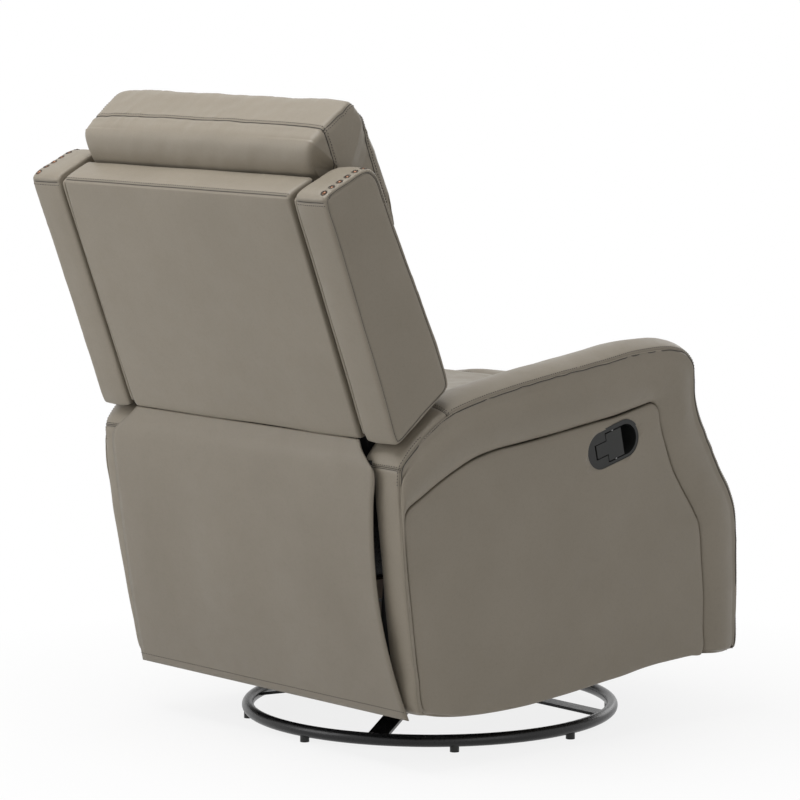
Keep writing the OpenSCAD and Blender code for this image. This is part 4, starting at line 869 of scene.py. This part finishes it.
BACK_HALF, BACK_ROUND, BACK_CROWN = 282, 26, 26
back_ring = spline([(PAD_REAR + a * 154, -95 + b * 424) for a, b in (
    (0, 0.1), (0, 0.24), (0, 0.5), (0, 0.76), (0, 0.97), (0.2, 0.99), (0.45, 0.99), (0.62, 0.975), (0.7, 0.95),
    (0.78, 0.9), (0.86, 0.855), (0.94, 0.815), (0.985, 0.75), (1, 0.62), (1, 0.4), (0.99, 0.27), (0.965, 0.17),
    (0.89, 0.08), (0.76, 0.025), (0.58, 0), (0.36, 0.01), (0.12, 0.045))], 8)


def back_rings():
    """Rings across the back cushion, drawn in towards its ends and narrower beside the arms."""
    out = -outward(back_ring)
    ends = [(e * BACK_ROUND, d * BACK_ROUND) for e, d in (
        (0, 0.62), (0.04, 0.47), (0.1, 0.34), (0.2, 0.215), (0.32, 0.14), (0.48, 0.075), (0.65, 0.035), (0.82, 0.01),
        (1, 0))]
    even = np.linspace(-BACK_HALF + BACK_ROUND, BACK_HALF - BACK_ROUND, 61)[1:-1]
    front, up = np.maximum(out[:, 0], 0), np.maximum(out[:, 1], 0)
    rear = np.where(out[:, 0] < -0.7, 0.15, 1.0)
    wide = np.interp(back_ring[:, 1], [-18, 12], [273, 281]) - START_IN
    rings = []
    for x, d in across(BACK_HALF, ends, even):
        q = x / BACK_HALF
        deep = d + BACK_CROWN * abs(q) ** 6 * (front + 0.4 * up) + START_IN
        rings.append(ring_in_back(q * wide, back_ring - out * (deep * rear)[:, None]))
    return rings


back_pad = loft("back_cushion_cover", back_rings(), LEATHER, "back", fan=True)
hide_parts("back_cushion")


def back_limit(co):
    """Keeps the back cushion off its frame, the wings, the arms and the pillow."""
    f, u = back_place(co)
    side = np.interp(u, [-22, 10], [276.5, 282.5]) * MM
    f = np.clip(f, PAD_REAR, np.minimum(223, 188 + (282 - np.abs(co[:, 0]) / MM) * 0.85))
    high = np.interp(f, [64, 160, 176, 190, 200, 209, 214, 222], [324, 319, 305, 281, 270, 262, 245, 215])
    u = np.clip(u, -97, high)
    x = np.clip(co[:, 0], -side, side)
    return in_back(x / MM, f, u)


stuffed(back_pad, 0.022, back_limit)
soften(back_pad, 0.0008, 0.13, 61)
for s in (1, -1):
    # Seams down the face, either side of the middle channel
    face = in_back(np.full(40, s * 92), 235, np.linspace(-70, 262, 40))
    seam(back_pad, face, "back", depth=0.006, width=0.011, rows=(ROW, -ROW), pucker=0.001, seed=62 + s)
for k, u in enumerate((165, 65)):
    face = in_back(np.linspace(-270, 270, 90), 235, u)
    seam(back_pad, face, "back", depth=0.008, width=0.016, rows=(ROW,), pucker=0.0014, seed=65 + k)


def flat_cushion(ring, half, rounding, flat, inset):
    """Rings of (y, z) points across a cushion, whose underside the function flat keeps even, in metres."""
    out = outward(ring)
    ends = [(e * rounding, d * rounding) for e, d in (
        (0, 0.6), (0.04, 0.46), (0.1, 0.33), (0.2, 0.21), (0.32, 0.135), (0.48, 0.07), (0.65, 0.03), (1, 0))]
    even = np.linspace(-half + rounding, half - rounding, 51)[1:-1]
    rings = []
    for x, d in across(half, ends, even):
        line = flat(ring - out * (d + inset), x, out)
        rings.append(np.stack([np.full(len(ring), x * (1 - inset / half)), line[:, 0], line[:, 1]], 1) * MM)
    return rings


SEAT_Z, SEAT_H, SEAT_HALF = 403.8, 141, 271
seat_ring = spline([(-352 + a * 534, SEAT_Z + b * SEAT_H) for a, b in (
    (0.985, 0.02), (1, 0.22), (0.998, 0.5), (0.975, 0.72), (0.91, 0.87), (0.8, 0.95), (0.66, 0.985), (0.5, 1),
    (0.34, 0.995), (0.2, 0.96), (0.1, 0.885), (0.035, 0.76), (0.005, 0.58), (0.001, 0.36), (0.012, 0.14),
    (0.045, 0.01), (0.2, 0), (0.4, 0), (0.6, 0), (0.8, 0))], 8)


def seat_flat(line, x, out):
    line = line.copy()
    rise = (line[:, 1] - SEAT_Z) / SEAT_H
    line[:, 1] = np.maximum(line[:, 1] - np.clip(rise, 0, 1) * 20 * (abs(x) / SEAT_HALF) ** 2.5, SEAT_Z)
    return line


def seat_limit(co):
    """Keeps the seat cushion on the deck and between the arms and the back."""
    low = np.array([-278.5, -364, SEAT_Z + 0.3]) * MM
    high = np.array([278.5, 184, SEAT_Z + SEAT_H + 9]) * MM
    return np.clip(co, low, high)


seat = loft("seat_cushion_cover", flat_cushion(seat_ring, SEAT_HALF, 46, seat_flat, START_IN), LEATHER,
            "seat_frame", fan=True)
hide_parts("seat_cushion")
stuffed(seat, 0.024, seat_limit)
soften(seat, 0.0009, 0.14, 71)
# A seam round the seat's top, and one across its front
top_edge = Skin(seat).round((0, -0.09, (SEAT_Z + 104) * MM), (0.27, 0, 0), (0, 0.27, 0), 0, 360, 420)
seam(seat, top_edge, "seat_frame", depth=0.0035, width=0.006, rows=(ROW, -ROW), pucker=0.0009, seed=73,
     welt=0.0012, closed=True)
across_top = np.stack([np.linspace(-0.25, 0.25, 90), np.full(90, -0.2), np.full(90, 0.56)], 1)
seam(seat, across_top, "seat_frame", depth=0.006, width=0.013, rows=(ROW,), pucker=0.0012, seed=74)

foot_lo, foot_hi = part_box("footrest_pad")
FOOT_Y, FOOT_Z0 = foot_hi[1] / MM, foot_lo[2] / MM
FOOT_H, FOOT_T, FOOT_HALF = (foot_hi[2] - foot_lo[2]) / MM, 50, 266
foot_ring = spline([(FOOT_Y - a * FOOT_T, FOOT_Z0 + b * FOOT_H) for a, b in (
    (0, 0.03), (0, 0.25), (0, 0.5), (0, 0.75), (0, 0.97), (0.3, 1), (0.62, 0.995), (0.84, 0.97), (0.95, 0.92),
    (0.99, 0.82), (1, 0.65), (1, 0.5), (1, 0.35), (0.99, 0.18), (0.95, 0.08), (0.84, 0.03), (0.62, 0.005),
    (0.3, 0))], 8)


def foot_flat(line, x, out):
    line = line.copy()
    line[:, 0] = np.minimum(line[:, 0] + np.maximum(-out[:, 0], 0) * 9 * (x / FOOT_HALF) ** 2, FOOT_Y)
    return line


def foot_limit(co):
    """Keeps the footrest's padding on its board and clear of the arms."""
    low = np.array([-270, FOOT_Y - FOOT_T - 7, FOOT_Z0 - 4]) * MM
    high = np.array([270, FOOT_Y - 0.2, FOOT_Z0 + FOOT_H + 4]) * MM
    return np.clip(co, low, high)


foot = loft("footrest_cover", flat_cushion(foot_ring, FOOT_HALF, 24, foot_flat, START_IN * 0.6), LEATHER,
            "footrest", fan=True)
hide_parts("footrest_pad")
stuffed(foot, 0.018, foot_limit)
soften(foot, 0.0007, 0.13, 81)
across_foot = np.stack([np.linspace(-0.255, 0.255, 90), np.full(90, (FOOT_Y - 60) * MM),
                        np.full(90, (FOOT_Z0 + FOOT_H / 2) * MM)], 1)
seam(foot, across_foot, "footrest", depth=0.004, width=0.01, rows=(ROW, -ROW), pucker=0.001, seed=83)


# Skirt

# Each row gives a share of the height, of the half width and of how far back the skirt hangs
SKIRT = [
    (1, 0.848, 0), (0.965, 0.89, 0.1), (0.93, 0.95, 0.19), (0.89, 1, 0.22), (0.78, 0.988, 0.2), (0.66, 0.975, 0.13),
    (0.54, 0.968, 0.03), (0.42, 0.968, -0.1), (0.3, 0.975, -0.27), (0.18, 0.99, -0.48), (0.08, 1.005, -0.69),
    (0, 1.02, -0.88)]
skirt_lo, skirt_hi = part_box("back_skirt")
rows = spline(SKIRT, 6, closed=False)
SKIRT_HALF, SKIRT_REACH, SKIRT_SWELL, SKIRT_T, COLUMNS = 329, 59, 16, 2.5, 60


def skirt_sheet(inner):
    """Points of the skirt's outer or inner face, row by row."""
    pts = []
    for h, w, b in rows:
        for j in range(COLUMNS + 1):
            q = 2 * j / COLUMNS - 1
            arch = math.sin(math.pi * min(max(h, 0), 1))
            fold = SKIRT_SWELL * arch * ((1 - abs(q)) / 4 + math.sin(3 * math.pi * q) / 8)
            y = BACK_Y + b * SKIRT_REACH + fold - (SKIRT_T if inner else 0)
            z = skirt_lo[2] / MM + h * (skirt_hi[2] - skirt_lo[2]) / MM
            pts.append((q * w * SKIRT_HALF, y, z))
    return np.array(pts) * MM


outer_pts, inner_pts = skirt_sheet(False), skirt_sheet(True)
nr, nc = len(rows), COLUMNS + 1
faces = []
for layer, base in ((0, 0), (1, nr * nc)):
    for i in range(nr - 1):
        for j in range(nc - 1):
            a = base + i * nc + j
            quad = (a, a + 1, a + nc + 1, a + nc)
            faces.append(quad if layer else quad[::-1])
rim = [(0, j) for j in range(nc)] + [(i, nc - 1) for i in range(1, nr)] + \
    [(nr - 1, j) for j in range(nc - 2, -1, -1)] + [(i, 0) for i in range(nr - 2, 0, -1)]
for (i, j), (k, m) in zip(rim, rim[1:] + rim[:1]):
    a, b = i * nc + j, k * nc + m
    faces.append((a, b, b + nr * nc, a + nr * nc))
skirt = add_mesh("rear_skirt_cover", np.concatenate([outer_pts, inner_pts]), faces, SKIRT_SHADED_LEATHER, None)
closed_normals(skirt)
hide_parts("back_skirt")
hem_z = skirt_lo[2] + 0.013
hem = outer_pts.reshape(nr, nc, 3)
hem_path = np.array([[np.interp(hem_z, hem[::-1, j, 2], hem[::-1, j, k]) for k in range(3)] for j in range(nc)])
seam(skirt, hem_path, "skirt", depth=0, shade_line_r=0, rows=(0.0,))


# Stage, light and camera

for (body, kind), (verts, faces) in threads.parts.items():
    # Seam lines take the painted shade colour, welts the leather
    look = {"seam": SEAM_SHADE, "stitch": STITCH, "welt": LEATHER}[kind]
    ob = add_mesh(f"{kind}_lines_{body}", verts, faces, look, None if body == "skirt" else body)
    if body == "skirt":
        skirt_stitches = ob
for ob in (skirt, skirt_stitches):
    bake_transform(ob)


def bare_rays(nt):
    """One for rays from the camera, off gloss or through glass, which see the plain backdrop."""
    rays = nt.nodes.new("ShaderNodeLightPath")
    both = rays.outputs["Is Camera Ray"]
    for kind in ("Is Glossy Ray", "Is Transmission Ray"):
        either = node(nt, "ShaderNodeMath", operation="MAXIMUM")
        nt.links.new(both, either.inputs[0])
        nt.links.new(rays.outputs[kind], either.inputs[1])
        both = either.outputs[0]
    return both


# The shadow shows near the object, and further out the floor is plain white
pale, fnt, matt = material("pale_floor")
matt.inputs["Base Color"].default_value = (0.86, 0.86, 0.86, 1)
matt.inputs["Roughness"].default_value = 0.9
reach = node(fnt, "ShaderNodeVectorMath", operation="LENGTH")
seen = node(fnt, "ShaderNodeMath", operation="MULTIPLY")
blend = fnt.nodes.new("ShaderNodeMixShader")
for source, socket in (
        (fnt.nodes.new("ShaderNodeTexCoord").outputs["Object"], reach.inputs[0]),
        (bare_rays(fnt), seen.inputs[0]),
        (ramp(fnt, reach.outputs["Value"], 0.35, 1.1, 0.84, 1.0), seen.inputs[1]),
        (seen.outputs[0], blend.inputs["Fac"]),
        (matt.outputs[0], blend.inputs[1]),
        (fnt.nodes.new("ShaderNodeEmission").outputs[0], blend.inputs[2]),
        (blend.outputs[0], fnt.nodes["Material Output"].inputs["Surface"])):
    fnt.links.new(source, socket)
floor = add_mesh("floor", [(-9, -9, 0), (9, -9, 0), (9, 9, 0), (-9, 9, 0)], [(0, 1, 2, 3)], pale)

world = bpy.data.worlds.new("studio")
bpy.context.scene.world = world
world.use_nodes = True
wnt = world.node_tree
back = wnt.nodes["Background"]
back.inputs["Color"].default_value = (1, 1, 1, 1)
wnt.links.new(ramp(wnt, bare_rays(wnt), 0.0, 1.0, 0.3, 1.0), back.inputs["Strength"])


LIT, AIM = Vector((0, 0.1, 0.55)), Vector((0.07531, 0, 0.52253))


def softbox(name, direction, distance, size, power):
    """A square light that faces the chair."""
    light = bpy.data.lights.new(name, "AREA")
    light.shape, light.size, light.energy = "SQUARE", size, power
    ob = bpy.data.objects.new(name, light)
    d = Vector(direction).normalized()
    ob.location = LIT + d * distance
    ob.rotation_mode = "QUATERNION"
    ob.rotation_quaternion = d.to_track_quat("Z", "Y")
    bpy.context.scene.collection.objects.link(ob)


softbox("key_light", (0.42, 0.95, 0.3), 2.8, 1.6, 22.5)
softbox("top_light", (0, 0.38, 1), 2.4, 1.5, 39)
softbox("fill_light", (-0.95, 0.1, 0.25), 4.5, 2.6, 20)
softbox("front_light", (0.2, -0.95, 0.35), 4.5, 2.6, 30)

camera = bpy.data.objects.new("camera", bpy.data.cameras.new("camera"))
bpy.context.scene.collection.objects.link(camera)
AZ, EL, FAR, FOCAL = math.radians(228.498), math.radians(6.867), 6.2049, 3700 / 800
away = Vector((math.sin(AZ) * math.cos(EL), -math.cos(AZ) * math.cos(EL), math.sin(EL)))
camera.location = AIM + away * FAR
camera.rotation_mode = "QUATERNION"
camera.rotation_quaternion = away.to_track_quat("Z", "Y")
camera.data.sensor_width = 36
camera.data.lens = FOCAL * 36
camera.data.clip_end = 100
bpy.context.scene.camera = camera
bpy.context.scene.view_settings.view_transform = "Standard"
